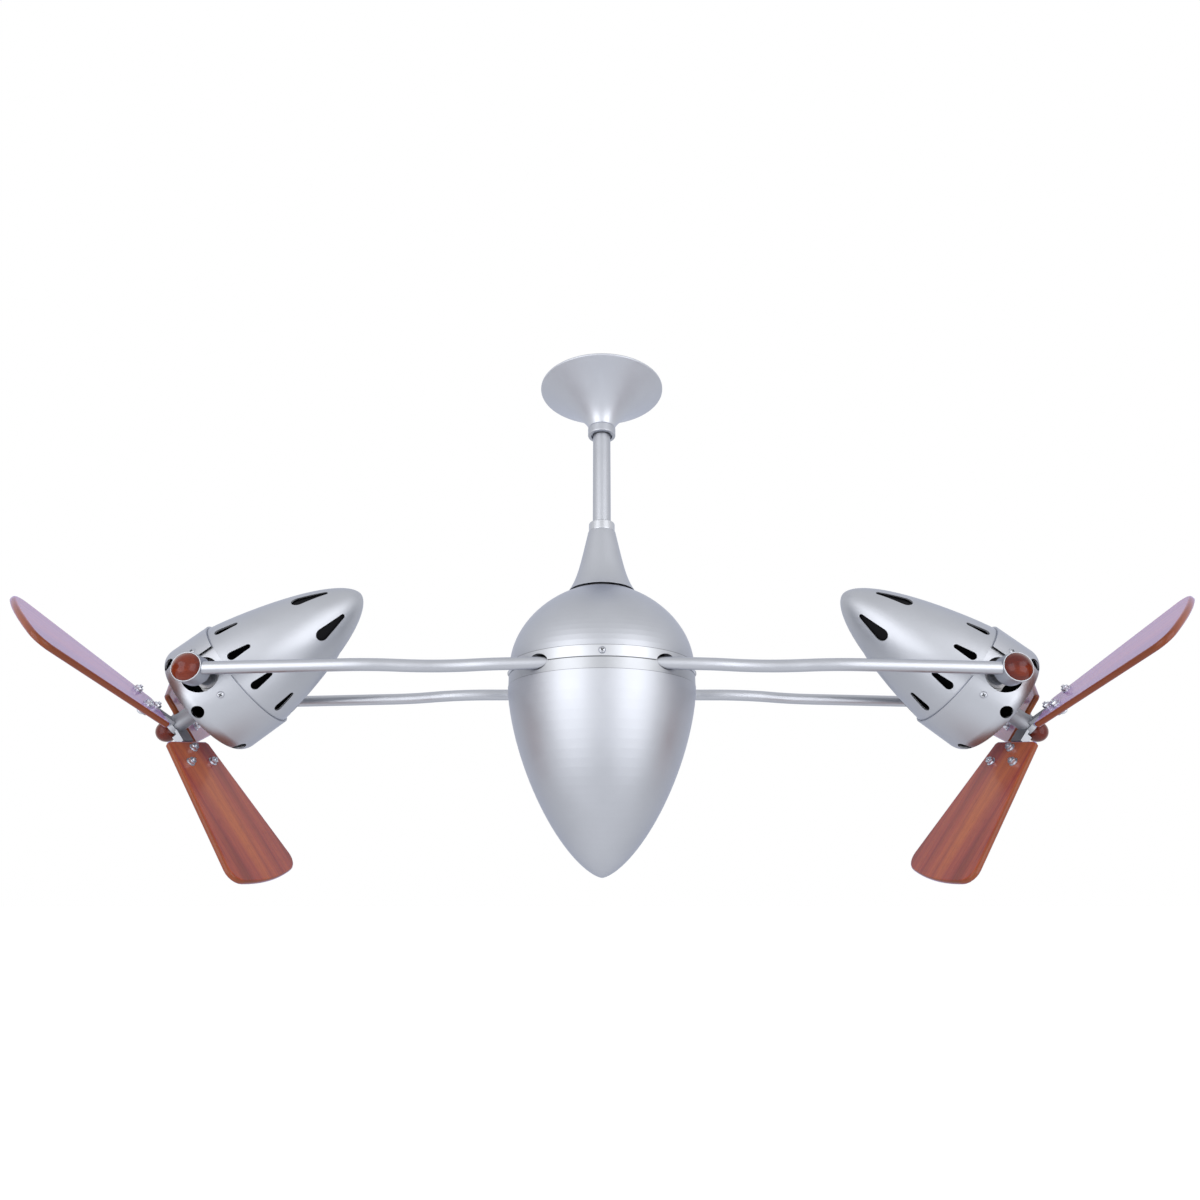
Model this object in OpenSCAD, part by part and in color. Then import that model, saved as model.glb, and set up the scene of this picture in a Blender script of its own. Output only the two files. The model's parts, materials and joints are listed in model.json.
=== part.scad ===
// Twin head ceiling fan. A carousel with four bent arms turns below a ceiling downrod and
// carries two vented motor heads that tilt between their arms and drive three wood blades each.
// Millimetres. The origin is the middle of the ceiling mount; everything hangs below it.

/* [Ceiling mount] */
// Radius of the canopy where it meets the ceiling
canopy_r = 75; // [70:1:90]
// Height of the canopy
canopy_h = 54; // [50:1:64]
// Radius of the canopy and bell where they meet their collars
neck_r = 15; // [14.5:0.5:17]
// Wall of the spun canopy and bell
spun_wall = 1.5; // [1:0.1:2]
// Distance between the two ceiling screws
ceiling_screw_spacing = 88.9; // [88.9:0.1:92]
// Radius of the ceiling screw holes
ceiling_screw_hole_r = 2.6; // [2.2:0.1:3]
// Width of the hanger bracket strap
bracket_w = 24; // [22:1:26]
// Thickness of the hanger bracket strap
bracket_t = 2.5; // [2:0.5:3]
// Radius of the hanger ball
ball_r = 17; // [17:0.5:18]

/* [Downrod and body] */
// Diameter of the downrod
rod_d = 21; // [18:1:23]
// Wall of the downrod
rod_wall = 2; // [1.5:0.5:3]
// Distance from the ceiling to the seam between the two bands
drop = 365; // [360:5:460]
// Radius of the two bands round the body
body_r = 101; // [98:1:110]
// Height of each band
band_h = 12; // [11:1:14]
// Height of the dome above the bands
dome_h = 94; // [90:1:100]
// Height of the lower cone below the bands
cone_h = 192; // [160:1:230]
// Wall of the spun dome and lower cone
shell_wall = 1.8; // [1.5:0.1:2.2]
// Height of the bell cover over the top of the dome
bell_h = 74; // [70:1:76]

/* [Arms] */
// Diameter of an arm tube
arm_d = 12.7; // [12:0.1:13.5]
// Wall of an arm tube
arm_wall = 1.4; // [1:0.1:2]
// Distance from the middle plane to an arm where it leaves the body
arm_y = 77; // [76:0.5:79]
// Distance from the middle of the fan to a head's tilt axis
arm_reach = 404; // [380:1:440]
// Angle at which an arm droops, in degrees
arm_droop = 1.3; // [1:0.1:2.5]
// Radius of the bends in an arm
bend_r = 180; // [160:5:220]
// Angle of the bend towards the middle plane, in degrees
bend_in = 8.2; // [6:0.1:9]
// Angle of the bend away from the middle plane, in degrees
bend_out = 16; // [13:0.1:16.5]

/* [Heads] */
// Radius of the nose shell
head_r = 65.5; // [64:0.5:67]
// Length of the tail shell behind the seam
tail_len = 147.5; // [130:0.5:170]
// Length of the nose shell from the seam to its face
nose_len = 56.3; // [54:0.1:60]
// Distance from the tilt axis back to the seam
seam_back = 22; // [21:0.5:24]
// Wall of both head shells
head_wall = 2; // [1.6:0.1:2.2]
// Angle of the heads below the horizontal, in degrees
tilt = 39; // [30:1:50]
// Diameter of a pivot sleeve
sleeve_d = 30; // [28:0.5:31]
// Radius of the round pivot openings in the head shells
pivot_opening_r = 17.7; // [17:0.1:18.5]

/* [Vents] */
// Number of small teardrop slots round the seam
small_slots = 10; // [6:1:12]
// Number of large teardrop slots round the tail
large_slots = 5; // [3:1:6]
// Number of round vents in the nose
nose_vents = 6; // [4:1:8]
// Radius of a round nose vent
nose_vent_r = 6.7; // [5:0.1:7]

/* [Blades] */
// Distance from the tilt axis to the blades
blade_plane = 66.3; // [64:0.1:70]
// Radius at which a blade starts
blade_root_r = 23.3; // [23:0.1:26]
// Radius at which a blade's side edges end
blade_tip_r = 189; // [150:1:195]
// Width of a blade at its root
blade_root_w = 61.5; // [54:0.5:62]
// Width of a blade at its tip
blade_tip_w = 112.5; // [90:0.5:120]
// Thickness of a blade
blade_t = 6; // [5:0.5:7]
// Pitch of a blade, in degrees
blade_pitch = 11.4; // [8:0.1:14]
// Lean of the blades away from the motor, in degrees
blade_lean = 1; // [0:0.5:2]
// Turn of the first blade about the shaft, in degrees
blade_turn = -60.3; // [-90:0.1:-30]

/* [Hidden] */
$fn = 96;
tiny = 0.01;
through = 400;

// Clearances
run_gap = 0.05;
seat_gap = 0.3;
fit_gap = 0.02;

// Colours as the photo shows them
nickel = [0.74, 0.75, 0.78];
bright = [0.86, 0.87, 0.89];
wood = [0.55, 0.22, 0.12];
steel = [0.62, 0.63, 0.65];
dark = [0.12, 0.12, 0.13];
copper = [0.72, 0.42, 0.25];
galvanised = [0.66, 0.68, 0.7];

// Spun profiles: radius = rim * (1 - t^p)^q for a height t from 0 at the rim to 1 at the tip
dome_p = 1.94;
dome_q = 0.585;
dome_rim_r = body_r - 0.6;
cone_p = 1.53;
cone_q = 0.665;
cone_rim_r = body_r + 0.4;
tail_p = 1.16;
tail_q = 0.545;

// Heights down the downrod
rod_r = rod_d / 2;
ball_z = -24;
bracket_seat_z = ball_z - 13;
bracket_foot_x = 34;
bracket_end_x = 60;
bracket_seat_x = 18.5;
collar_h = 11;
lower_collar_h = 11;
canopy_collar_r = neck_r + 1.6;
canopy_neck_r = neck_r + 1;
seam_z = -drop;
dome_base_z = seam_z + band_h;
cone_base_z = seam_z - band_h;
bell_gap = 2.6;
bell_base_r = 38;
bell_lip = 6.1;
bell_base_z = dome_base_z + dome_height_at(bell_base_r) + bell_gap;
bell_top_z = bell_base_z + bell_h;
dome_opening_r = 27;
set_screw_r = 1.6;
set_screw_places = [
    [canopy_collar_r, -canopy_h - collar_h / 2], [neck_r, bell_top_z + lower_collar_h / 2]
];

// Heights on the spindle, measured from the seam
socket_top_z = bell_base_z + 34;
socket_depth = 26;
socket_wall = 3.2;
pin_r = 3;
ball_pin_z = ball_z + 4;
rod_top_z = ball_z + 12;
rod_base_z = socket_top_z - socket_depth + seat_gap;
coupling_pin_z = socket_top_z - 13;
coupling_pin_len = 2 * (rod_r + socket_wall);
spindle_r = 12;
journal_r = 10;
bearing_r = 22;
bearing_h = 10;
hub_top_z = seam_z + 22;
hub_base_z = seam_z - 31;
journal_base_z = hub_base_z - 12;
nut_h = 8;
nut_r = 15;
ring_count = 4;
ring_pitch = 8;
ring_r = 23;
ring_core_r = 20;
ring_base_z = seam_z + 34;
brush_turn = 90;
brush_post_x = 36;

// Arm carrier and the clamps that hold the arm ends
plate_t = 8;
plate_top_z = cone_base_z - seat_gap;
plate_r = body_r - 2.8;
carrier_hub_r = 30;
band_wall = 2.5;
lip_t = 2.4;
saddle_x = 34;
saddle_in_y = arm_y - 15.5;
saddle_out_y = arm_y + 9;
arm_end_x = 10;
entry_x = sqrt(body_r * body_r - arm_y * arm_y);
arm_hole_r = arm_d / 2 + 1.95;
arm_sink = 1.2;
clamp_parting_z = seam_z - arm_sink + 1;
clamp_h = 11;
clamp_screw_len = 18;
band_screw_len = 8;
clamp_screw_x = 22;
clamp_screw_y = arm_y - 11;
screw_r = 2;
screw_head_r = 3.6;
screw_head_h = 2.2;
band_screw_z = seam_z + band_h / 2;

// Arm path, from the middle of the fan outwards
arm_r = arm_d / 2;
arm_step = 0.02;
arm_lap = 0.3;
arm_lap_turn = 0.1;
arm_run_x = body_r;
// the bends alone bring the arm to bent_y; a larger head gets a straight slant between the last two
bent_y = arm_y - 2 * bend_r * (1 - cos(bend_in)) + 2 * bend_r * (1 - cos(bend_out));
arm_head_gap = 21.7;
slant_len = max(0, (head_r + arm_head_gap - bent_y) / sin(bend_out));
arm_out_y = bent_y + slant_len * sin(bend_out);
arm_bend_len = 2 * bend_r * (sin(bend_in) + sin(bend_out)) + slant_len * cos(bend_out);

// Pivot sleeves
sleeve_r = sleeve_d / 2;
sleeve_in_y = head_r + 7.5;
sleeve_out_y = arm_out_y + 7;
neck_in_y = head_r - 15.5;
sleeve_neck_r = 9;
cap_r = sleeve_r - 1.25;
cap_depth = 10;
cap_rise = 8;
bolt_r = 4;
bolt_head_r = 7;
bolt_head_h = 5;
pocket_floor_y = sleeve_in_y + 4;
pivot_z = seam_z - arm_sink - (arm_reach - entry_x) * tan(arm_droop);

// Head shells, measured along the head's axis from the tilt axis
seam_s = -seam_back;
face_s = nose_len - seam_back;
nose_round_r = 15;
tail_r = head_r - 2.3;
tail_collar_len = 10;
tab_half_w = 19;
tab_front_s = 4;
notch_half_w = tab_half_w + 0.4;
nose_hole_r = 11;
shell_screw_turn = 26.3;
shell_screw_s = -3;
shell_screw_head_h = 1.4;
shell_screw_len = 12;
pad_r = 5;
small_slot_s = seam_s - 11;
small_slot_len = 17;
small_slot_turn = 16;
small_slot_wide_r = 3.4;
small_slot_thin_r = 1.8;
large_slot_s = seam_s - 91;
large_slot_len = 27.4;
large_slot_turn = 12;
large_slot_wide_r = 6.6;
large_slot_thin_r = 2.4;
nose_vent_s = face_s - 9.8;
nose_vent_turn = 3;

// Motor
can_r = head_r - 22.5;
can_wall = 3;
can_front_s = 20;
can_back_s = -78;
can_bevel = 6;
housing_front_s = can_front_s + 6;
housing_back_s = can_back_s - 7;
chamber_r = can_r - 12;
chamber_tip_r = chamber_r - 14;
chamber_end_s = seam_s - tail_len + 27;
chamber_wall = 2;
yoke_r = can_r + 4;
yoke_half_h = 12;
boss_r = 12;
boss_out_y = neck_in_y - seat_gap;
shaft_r = 6;
motor_bearing_r = 13;
motor_bearing_h = 8;
core_s = -52;
core_h = 46;
rotor_r = 24.5;
stator_in_r = 25;

// Blade hub
hub_tube_r = 9.25;
hub_back_s = face_s + 1.5;
hub_disc_t = 3;
hub_face_s = blade_plane + 2;
shaft_end_s = hub_face_s - 1.5;
iron_t = 2.5;
iron_inner_r = 8;
iron_root_r = 12.3;
iron_half_w = 8;
cup_r = 11.8;
cup_h = 2.2;
cup_wall = 1.5;
finial_r = 11.6;
blade_corner_r = 17;
blade_bulge = 8.5;
blade_root_corner_r = 3;
blade_screw_r = 2;
blade_nut_r = 4.2;
blade_nut_h = 3.4;
blade_screw_head_r = 4;
blade_screw_head_h = 2.4;
blade_screw_places = [[33, 0], [51.5, 17.6], [51.5, -17.6]];

// ---------------------------------------------------------------- profiles

function steps(n) = [for (i = [0:n]) i / n];

// Radius of a spun shell, from its rim (t = 0) to its tip (t = 1)
function spun_r(r, t, p, q) = r * pow(max(0, 1 - pow(t, p)), q);

function arc_points(c, r, from, to, n) =
    [for (t = steps(n)) [c[0] + r * cos(from + (to - from) * t), c[1] + r * sin(from + (to - from) * t)]];

function spun_points(r, h, p, q, n) =
    concat([for (t = steps(n)) [spun_r(r, sin(90 * t), p, q), h * sin(90 * t)]], [[0, 0]]);

// Height on the dome at which it has radius r
function dome_height_at(r) = dome_h * pow(1 - pow(r / dome_rim_r, 1 / dome_q), 1 / dome_p);

module spun_shell(r, h, p, q, wall, n = 26) {
    difference() {
        rotate_extrude() polygon(spun_points(r, h, p, q, n));
        rotate_extrude() polygon(spun_points(r - wall, h - wall, p, q, n));
    }
}

// Trumpet wall between two heights; flare(t) gives the outer radius, t = 0 at the neck
module trumpet(flare, z_neck, z_rim, wall, n = 18) {
    outer = [for (t = steps(n)) [flare(t), z_neck + (z_rim - z_neck) * t]];
    inner = [for (t = steps(n)) [flare(1 - t) - wall, z_rim + (z_neck - z_rim) * t]];
    rotate_extrude() polygon(concat(outer, inner));
}

module ring(r_out, r_in, h) {
    difference() {
        cylinder(r = r_out, h = h);
        translate([0, 0, -1]) cylinder(r = r_in, h = h + 2);
    }
}

// Collar with rounded edges and a counterbore at its lower end
module rod_collar(r, h, r_in, bore_r, bore_h) {
    e = 1.2;
    difference() {
        rotate_extrude() polygon([
            [0, 0], [r - e, 0], [r - e * 0.3, e * 0.3], [r, e],
            [r, h - e], [r - e * 0.3, h - e * 0.3], [r - e, h], [0, h]
        ]);
        translate([0, 0, -1]) cylinder(r = r_in, h = h + 2);
        translate([0, 0, -1]) cylinder(r = bore_r, h = bore_h + 1);
    }
}

// Round head screw along +Z, its head above z = 0
module round_screw(r, len, head_r, head_h) {
    translate([0, 0, -len]) cylinder(r = r, h = len + tiny);
    difference() {
        rotate_extrude() polygon(concat(
            [[0, 0]], [for (t = steps(8)) [head_r * cos(90 * t), head_h * sin(90 * t)]]));
        translate([-head_r, -head_r * 0.12, head_h * 0.55])
            cube([2 * head_r, head_r * 0.24, head_h]);
    }
}

// Teardrop outline: wide end of radius a at the origin, thin end of radius b at [d, 0]
module teardrop(a, b, d) {
    lean = acos((a - b) / d);
    polygon(concat(arc_points([0, 0], a, lean, 360 - lean, 12), arc_points([d, 0], b, -lean, lean, 6)));
}

// ---------------------------------------------------------------- places

// Left head: +Z along the motor axis towards the blades, +Y along the tilt axis
module head_place() {
    translate([-arm_reach, 0, pivot_z]) rotate([0, -(90 + tilt), 0]) children();
}

// Flat of blade number i: +X out along the blade, +Z away from the motor
module blade_place(i) {
    translate([0, 0, blade_plane]) rotate([0, 0, blade_turn - 120 * i])
        rotate([0, -blade_lean, 0]) rotate([blade_pitch, 0, 0]) children();
}

module both_sides() {
    for (side = [0, 1]) mirror([side, 0, 0]) children();
}

module four_corners() {
    both_sides() for (side = [0, 1]) mirror([0, side, 0]) children();
}

module as_right() {
    mirror([1, 0, 0]) children();
}

// ---------------------------------------------------------------- ceiling mount

module hanger_bracket() {
    t = bracket_t;
    half = [
        [bracket_end_x, 0], [bracket_end_x, -t], [bracket_foot_x + t, -t],
        [bracket_seat_x + t, bracket_seat_z], [0, bracket_seat_z]
    ];
    inner = [[0, bracket_seat_z + t], [bracket_seat_x - 0.5, bracket_seat_z + t], [bracket_foot_x - 0.5, 0]];
    color(galvanised) difference() {
        both_sides() translate([0, bracket_w / 2, 0]) rotate([90, 0, 0])
            linear_extrude(bracket_w) polygon(concat(half, inner));
        translate([0, 0, ball_z]) sphere(r = ball_r + run_gap);
        translate([0, 0, bracket_seat_z - 1]) cylinder(r = rod_r + 1.2, h = 10);
        both_sides() translate([ceiling_screw_spacing / 2, 0, -through / 2])
            cylinder(r = ceiling_screw_hole_r, h = through);
    }
}

module hanger_ball() {
    color(dark) difference() {
        translate([0, 0, ball_z]) sphere(r = ball_r);
        translate([0, 0, ball_z - 2 * ball_r]) cylinder(r = rod_r + run_gap, h = 4 * ball_r);
        translate([0, 0, ball_z + ball_r - 4]) cylinder(r = ball_r, h = 10);
        translate([0, ball_r + 1, ball_pin_z]) rotate([90, 0, 0])
            cylinder(r = pin_r + fit_gap, h = 2 * ball_r + 2);
    }
}

module downrod() {
    color(nickel) difference() {
        translate([0, 0, rod_base_z]) ring(rod_r, rod_r - rod_wall, rod_top_z - rod_base_z);
        for (z = [ball_pin_z, coupling_pin_z])
            translate([0, through / 2, z]) rotate([90, 0, 0])
                cylinder(r = pin_r + fit_gap, h = through);
    }
}

module cross_pins() {
    off = ball_pin_z - ball_z;
    ball_pin_len = 2 * sqrt(ball_r * ball_r - off * off) - 3;
    color(steel) {
        translate([0, ball_pin_len / 2, ball_pin_z]) rotate([90, 0, 0])
            cylinder(r = pin_r, h = ball_pin_len);
        translate([0, coupling_pin_len / 2, coupling_pin_z]) rotate([90, 0, 0])
            cylinder(r = pin_r, h = coupling_pin_len);
    }
}

module canopy() {
    flare = function(t) canopy_neck_r + (canopy_r - canopy_neck_r) * pow(t, 1.55);
    lip = 2.2;
    color(nickel) {
        trumpet(flare, -canopy_h, -lip, spun_wall);
        translate([0, 0, -lip]) ring(canopy_r, canopy_r - spun_wall, lip - seat_gap / 2);
    }
}

module canopy_collar() {
    color(nickel) difference() {
        translate([0, 0, -canopy_h - collar_h])
            rod_collar(canopy_collar_r, collar_h, rod_r + run_gap, rod_r + 2.2, 4);
        set_screw_holes();
    }
}

module lower_collar() {
    color(bright) difference() {
        translate([0, 0, bell_top_z])
            rod_collar(neck_r, lower_collar_h, rod_r + run_gap, rod_r + 1, 2);
        set_screw_holes();
    }
}

module collar_set_screws() {
    len = 3.6;
    key_r = 0.9;
    key_depth = 1.4;
    color(steel) for (place = set_screw_places)
        translate([0, place[0] - len, place[1]]) rotate([-90, 0, 0]) difference() {
            cylinder(r = set_screw_r, h = len);
            translate([0, 0, len - key_depth]) cylinder(r = key_r, h = 2, $fn = 6);
        }
}

module set_screw_holes() {
    for (place = set_screw_places) translate([0, 0, place[1]]) rotate([-90, 0, 0])
        cylinder(r = set_screw_r + fit_gap, h = 60);
}

module bell_cover() {
    flare = function(t) neck_r + 0.8 + (bell_base_r - neck_r - 0.8 - bell_lip) * t + bell_lip * pow(t, 5.2);
    color(nickel) trumpet(flare, bell_top_z - tiny, bell_base_z, spun_wall);
}

// ---------------------------------------------------------------- spindle

module spindle() {
    socket_r = rod_r + socket_wall;
    color(steel) difference() {
        union() {
            translate([0, 0, socket_top_z - socket_depth - 6]) cylinder(r = socket_r, h = socket_depth + 6);
            translate([0, 0, hub_top_z]) cylinder(r = spindle_r, h = socket_top_z - socket_depth - hub_top_z - 3);
            translate([0, 0, journal_base_z]) cylinder(r = journal_r, h = hub_top_z - journal_base_z + 1);
        }
        translate([0, 0, socket_top_z - socket_depth])
            cylinder(r = rod_r + run_gap, h = socket_depth + 1);
        translate([0, 0, journal_base_z - 1]) cylinder(r = 5, h = through);
        translate([0, through / 2, coupling_pin_z]) rotate([90, 0, 0])
            cylinder(r = pin_r + fit_gap, h = through);
    }
}

module slip_ring_core() {
    h = ring_count * ring_pitch + 2;
    color(dark) translate([0, 0, ring_base_z]) difference() {
        ring(ring_core_r, spindle_r + fit_gap, h);
        for (i = [0:ring_count - 1]) translate([0, 0, 2 + i * ring_pitch])
            ring(ring_r, ring_core_r - 1.5, ring_pitch - 3);
    }
}

module slip_rings() {
    color(copper) for (i = [0:ring_count - 1])
        translate([0, 0, ring_base_z + 2 + fit_gap + i * ring_pitch])
            ring(ring_r - 2, ring_core_r - 1.5 + fit_gap, ring_pitch - 3 - 2 * fit_gap);
}

module spindle_nut() {
    color(steel) translate([0, 0, hub_base_z - nut_h - run_gap]) difference() {
        cylinder(r = nut_r, h = nut_h, $fn = 6);
        translate([0, 0, -1]) cylinder(r = journal_r + fit_gap, h = nut_h + 2);
    }
}

// ---------------------------------------------------------------- carousel

module arm_holes() {
    four_corners() translate([entry_x - 50, arm_y, seam_z])
        rotate([0, 90, 0]) cylinder(r = arm_hole_r, h = 100);
}

module band_screw_holes(r) {
    for (turn = [0:90:270]) rotate([0, 0, turn])
        translate([body_r - 20, 0, band_screw_z]) rotate([0, 90, 0]) cylinder(r = r, h = 40);
}

module dome() {
    color(nickel) difference() {
        translate([0, 0, dome_base_z]) spun_shell(dome_rim_r, dome_h, dome_p, dome_q, shell_wall);
        translate([0, 0, dome_base_z + dome_h / 2]) cylinder(r = dome_opening_r, h = dome_h);
    }
}

module upper_band() {
    groove = 0.5;
    shoulder_t = 1.6;
    color(bright) difference() {
        union() {
            translate([0, 0, seam_z + groove]) ring(body_r, body_r - band_wall, band_h - groove);
            translate([0, 0, seam_z]) ring(body_r - groove, body_r - band_wall, band_h);
            translate([0, 0, dome_base_z - shoulder_t]) ring(body_r - 1, body_r - 6, shoulder_t);
        }
        arm_holes();
        band_screw_holes(screw_r + fit_gap);
    }
}

module lower_band() {
    groove = 0.5;
    lip_r = body_r - band_wall - seat_gap;
    color(bright) difference() {
        union() {
            translate([0, 0, cone_base_z]) ring(body_r, body_r - band_wall, band_h - groove);
            translate([0, 0, cone_base_z]) ring(body_r - groove, lip_r - lip_t, band_h - seat_gap);
            translate([0, 0, cone_base_z]) ring(lip_r, lip_r - lip_t, 2 * band_h - 2.6);
        }
        arm_holes();
        band_screw_holes(screw_r + fit_gap);
    }
}

module lower_cone() {
    color(nickel) translate([0, 0, cone_base_z]) mirror([0, 0, 1])
        spun_shell(cone_rim_r, cone_h, cone_p, cone_q, shell_wall, 32);
}

// Block below both arm ends of one side, before the grooves are cut
module saddle(z_low, z_high) {
    translate([-saddle_x, saddle_in_y, z_low])
        cube([2 * saddle_x, saddle_out_y - saddle_in_y, z_high - z_low]);
}

module clamp_screw_places() {
    for (side = [0, 1]) mirror([0, side, 0]) {
        both_sides() translate([clamp_screw_x, clamp_screw_y, 0]) children();
        translate([0, arm_y, 0]) children();
    }
}

module arm_carrier() {
    rib_t = 4;
    rib_len = 58;
    rib_h = 9;
    window_r = 11;
    window_x = 52;
    post_r = 5;
    color(steel) difference() {
        union() {
            translate([0, 0, plate_top_z - plate_t]) cylinder(r = plate_r, h = plate_t);
            translate([0, 0, hub_base_z]) cylinder(r = carrier_hub_r, h = hub_top_z - hub_base_z);
            for (turn = [0:60:300]) rotate([0, 0, turn + 30])
                translate([0, -rib_t / 2, plate_top_z - 1]) cube([rib_len, rib_t, rib_h]);
            for (side = [0, 1]) mirror([0, side, 0]) saddle(plate_top_z - 1, clamp_parting_z - seat_gap);
            rotate([0, 0, brush_turn]) translate([brush_post_x, 0, plate_top_z - 1])
                cylinder(r = post_r, h = ring_base_z - plate_top_z + 1);
        }
        for (turn = [0:60:300]) rotate([0, 0, turn])
            translate([window_x, 0, plate_top_z - 2 * plate_t]) cylinder(r = window_r, h = 2 * plate_t + 0.5);
        four_corners() arm_room();
        translate([0, 0, hub_base_z - 1]) cylinder(r = journal_r + 4, h = through);
        translate([0, 0, hub_base_z - 1]) cylinder(r = bearing_r + fit_gap, h = bearing_h + 1);
        translate([0, 0, hub_top_z - bearing_h]) cylinder(r = bearing_r + fit_gap, h = bearing_h + 1);
        clamp_screw_places() translate([0, 0, seam_z - 9]) cylinder(r = screw_r + fit_gap, h = 30);
    }
}

module arm_clamps() {
    color(steel) difference() {
        for (side = [0, 1]) mirror([0, side, 0]) saddle(clamp_parting_z, clamp_parting_z + clamp_h);
        four_corners() arm_room();
        clamp_screw_places() translate([0, 0, seam_z - 9]) cylinder(r = screw_r + fit_gap, h = 40);
    }
}

module carousel_screws() {
    color(steel) {
        clamp_screw_places() translate([0, 0, clamp_parting_z + clamp_h])
            round_screw(screw_r, clamp_screw_len, screw_head_r, screw_head_h);
        for (turn = [0:90:270]) rotate([0, 0, turn]) translate([body_r, 0, band_screw_z])
            rotate([0, 90, 0]) round_screw(screw_r, band_screw_len, screw_head_r, screw_head_h);
    }
}

module bearing(r_in, r_out, h) {
    shield = 0.8;
    shield_half_w = 3;
    mid = (r_in + r_out) / 2;
    difference() {
        ring(r_out, r_in, h);
        translate([0, 0, -1]) ring(mid + shield_half_w, mid - shield_half_w, shield + 1);
        translate([0, 0, h - shield]) ring(mid + shield_half_w, mid - shield_half_w, shield + 1);
    }
}

module main_bearings() {
    color(steel) for (z = [hub_base_z, hub_top_z - bearing_h])
        translate([0, 0, z]) bearing(journal_r + run_gap, bearing_r, bearing_h);
}

module brush_block() {
    block_t = 16;
    block_w = 18;
    color(dark) rotate([0, 0, brush_turn]) translate([0, 0, ring_base_z + fit_gap])
        translate([ring_r - 2 + seat_gap, -block_w / 2, 0]) cube([block_t, block_w, ring_count * ring_pitch]);
}

// ---------------------------------------------------------------- arms

module straight_rod(r, len) {
    rotate([0, 90, 0]) cylinder(r = r, h = len, $fn = 48);
}

// Bends start along +X at the origin; after_left and after_right stand at their ends
module after_left(a) {
    translate([bend_r * sin(a), bend_r * (1 - cos(a)), 0]) rotate([0, 0, a]) children();
}

module after_right(a) {
    translate([bend_r * sin(a), -bend_r * (1 - cos(a)), 0]) rotate([0, 0, -a]) children();
}

module bend_left_rod(r, a, lap_turn = 0) {
    translate([0, bend_r, 0]) rotate([0, 0, -90 - lap_turn])
        rotate_extrude(angle = a + 2 * lap_turn) translate([bend_r, 0]) circle(r = r, $fn = 48);
}

module bend_right_rod(r, a) {
    after_right(a) rotate([0, 0, 180]) bend_left_rod(r, a);
}

// Solid rod along an arm's middle line: towards the middle plane, then away, then straight.
// Every second length is a hair stouter and laps its neighbours, so that no two faces coincide.
module arm_rod(r, from, to) {
    stout = r + arm_step;
    translate([from, 0, 0]) straight_rod(stout, arm_run_x - from + arm_lap);
    translate([arm_run_x, 0, 0]) {
        bend_right_rod(r, bend_in);
        after_right(bend_in) {
            bend_left_rod(stout, bend_in + bend_out, arm_lap_turn);
            after_left(bend_in + bend_out) {
                if (slant_len > 0) translate([-arm_lap, 0, 0])
                    straight_rod(stout + arm_step, slant_len + 2 * arm_lap);
                translate([slant_len, 0, 0]) {
                    bend_right_rod(r, bend_out);
                    after_right(bend_out) translate([-arm_lap, 0, 0])
                        straight_rod(stout, to - arm_run_x - arm_bend_len + arm_lap);
                }
            }
        }
    }
}

module arm_place() {
    translate([entry_x, arm_y, seam_z - arm_sink]) rotate([0, arm_droop, 0]) translate([-entry_x, 0, 0])
        children();
}

module arm_room() {
    arm_place() translate([-10, 0, 0]) rotate([0, 90, 0])
        cylinder(r = arm_r + arm_step + run_gap, h = 80);
}

module arm() {
    difference() {
        arm_place() arm_rod(arm_r, arm_end_x, arm_reach);
        arm_place() arm_rod(arm_r - arm_wall, arm_end_x - 5, arm_reach + 5);
        sleeve_place() cylinder(r = sleeve_r + run_gap, h = through);
    }
}

module sleeve_place() {
    translate([arm_reach, 0, pivot_z]) rotate([-90, 0, 0]) children();
}

module arm_front_left() {
    color(nickel) mirror([1, 0, 0]) mirror([0, 1, 0]) arm();
}

module arm_rear_left() {
    color(nickel) mirror([1, 0, 0]) arm();
}

module arm_front_right() {
    color(nickel) mirror([0, 1, 0]) arm();
}

module arm_rear_right() {
    color(nickel) arm();
}

module pivot_sleeve() {
    rim = 0.8;
    difference() {
        rotate_extrude() polygon([
            [0, neck_in_y], [sleeve_neck_r, neck_in_y], [sleeve_neck_r, sleeve_in_y],
            [sleeve_r - rim, sleeve_in_y], [sleeve_r, sleeve_in_y + rim],
            [sleeve_r, sleeve_out_y - rim], [sleeve_r - rim / 2, sleeve_out_y], [0, sleeve_out_y]
        ]);
        cylinder(r = bolt_r + run_gap, h = through);
        translate([0, 0, pocket_floor_y]) cylinder(r = sleeve_r - 3.5, h = through);
        translate([0, 0, sleeve_out_y - cap_depth]) cylinder(r = cap_r + run_gap, h = through);
    }
}

module pivot_sleeves() {
    color(nickel) four_corners() sleeve_place() pivot_sleeve();
}

module pivot_caps() {
    dome_radius = (cap_r * cap_r + cap_rise * cap_rise) / (2 * cap_rise);
    half_angle = asin(cap_r / dome_radius);
    base = sleeve_out_y - cap_depth + run_gap;
    color(wood) four_corners() sleeve_place() rotate_extrude() polygon(concat(
        [[0, base], [cap_r, base]],
        [for (t = steps(14)) [dome_radius * sin(half_angle * (1 - t)),
            sleeve_out_y + cap_rise - dome_radius + dome_radius * cos(half_angle * (1 - t))]]));
}

// ---------------------------------------------------------------- head shells

module nose_vent_cuts() {
    lean = asin((nose_vent_s - (face_s - nose_round_r)) / nose_round_r);
    for (i = [0:nose_vents - 1]) rotate([0, 0, nose_vent_turn + 360 / nose_vents * i])
        translate([head_r - nose_round_r, 0, face_s - nose_round_r]) rotate([0, 90 - lean, 0])
            cylinder(r = nose_vent_r, h = 40);
}

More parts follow.
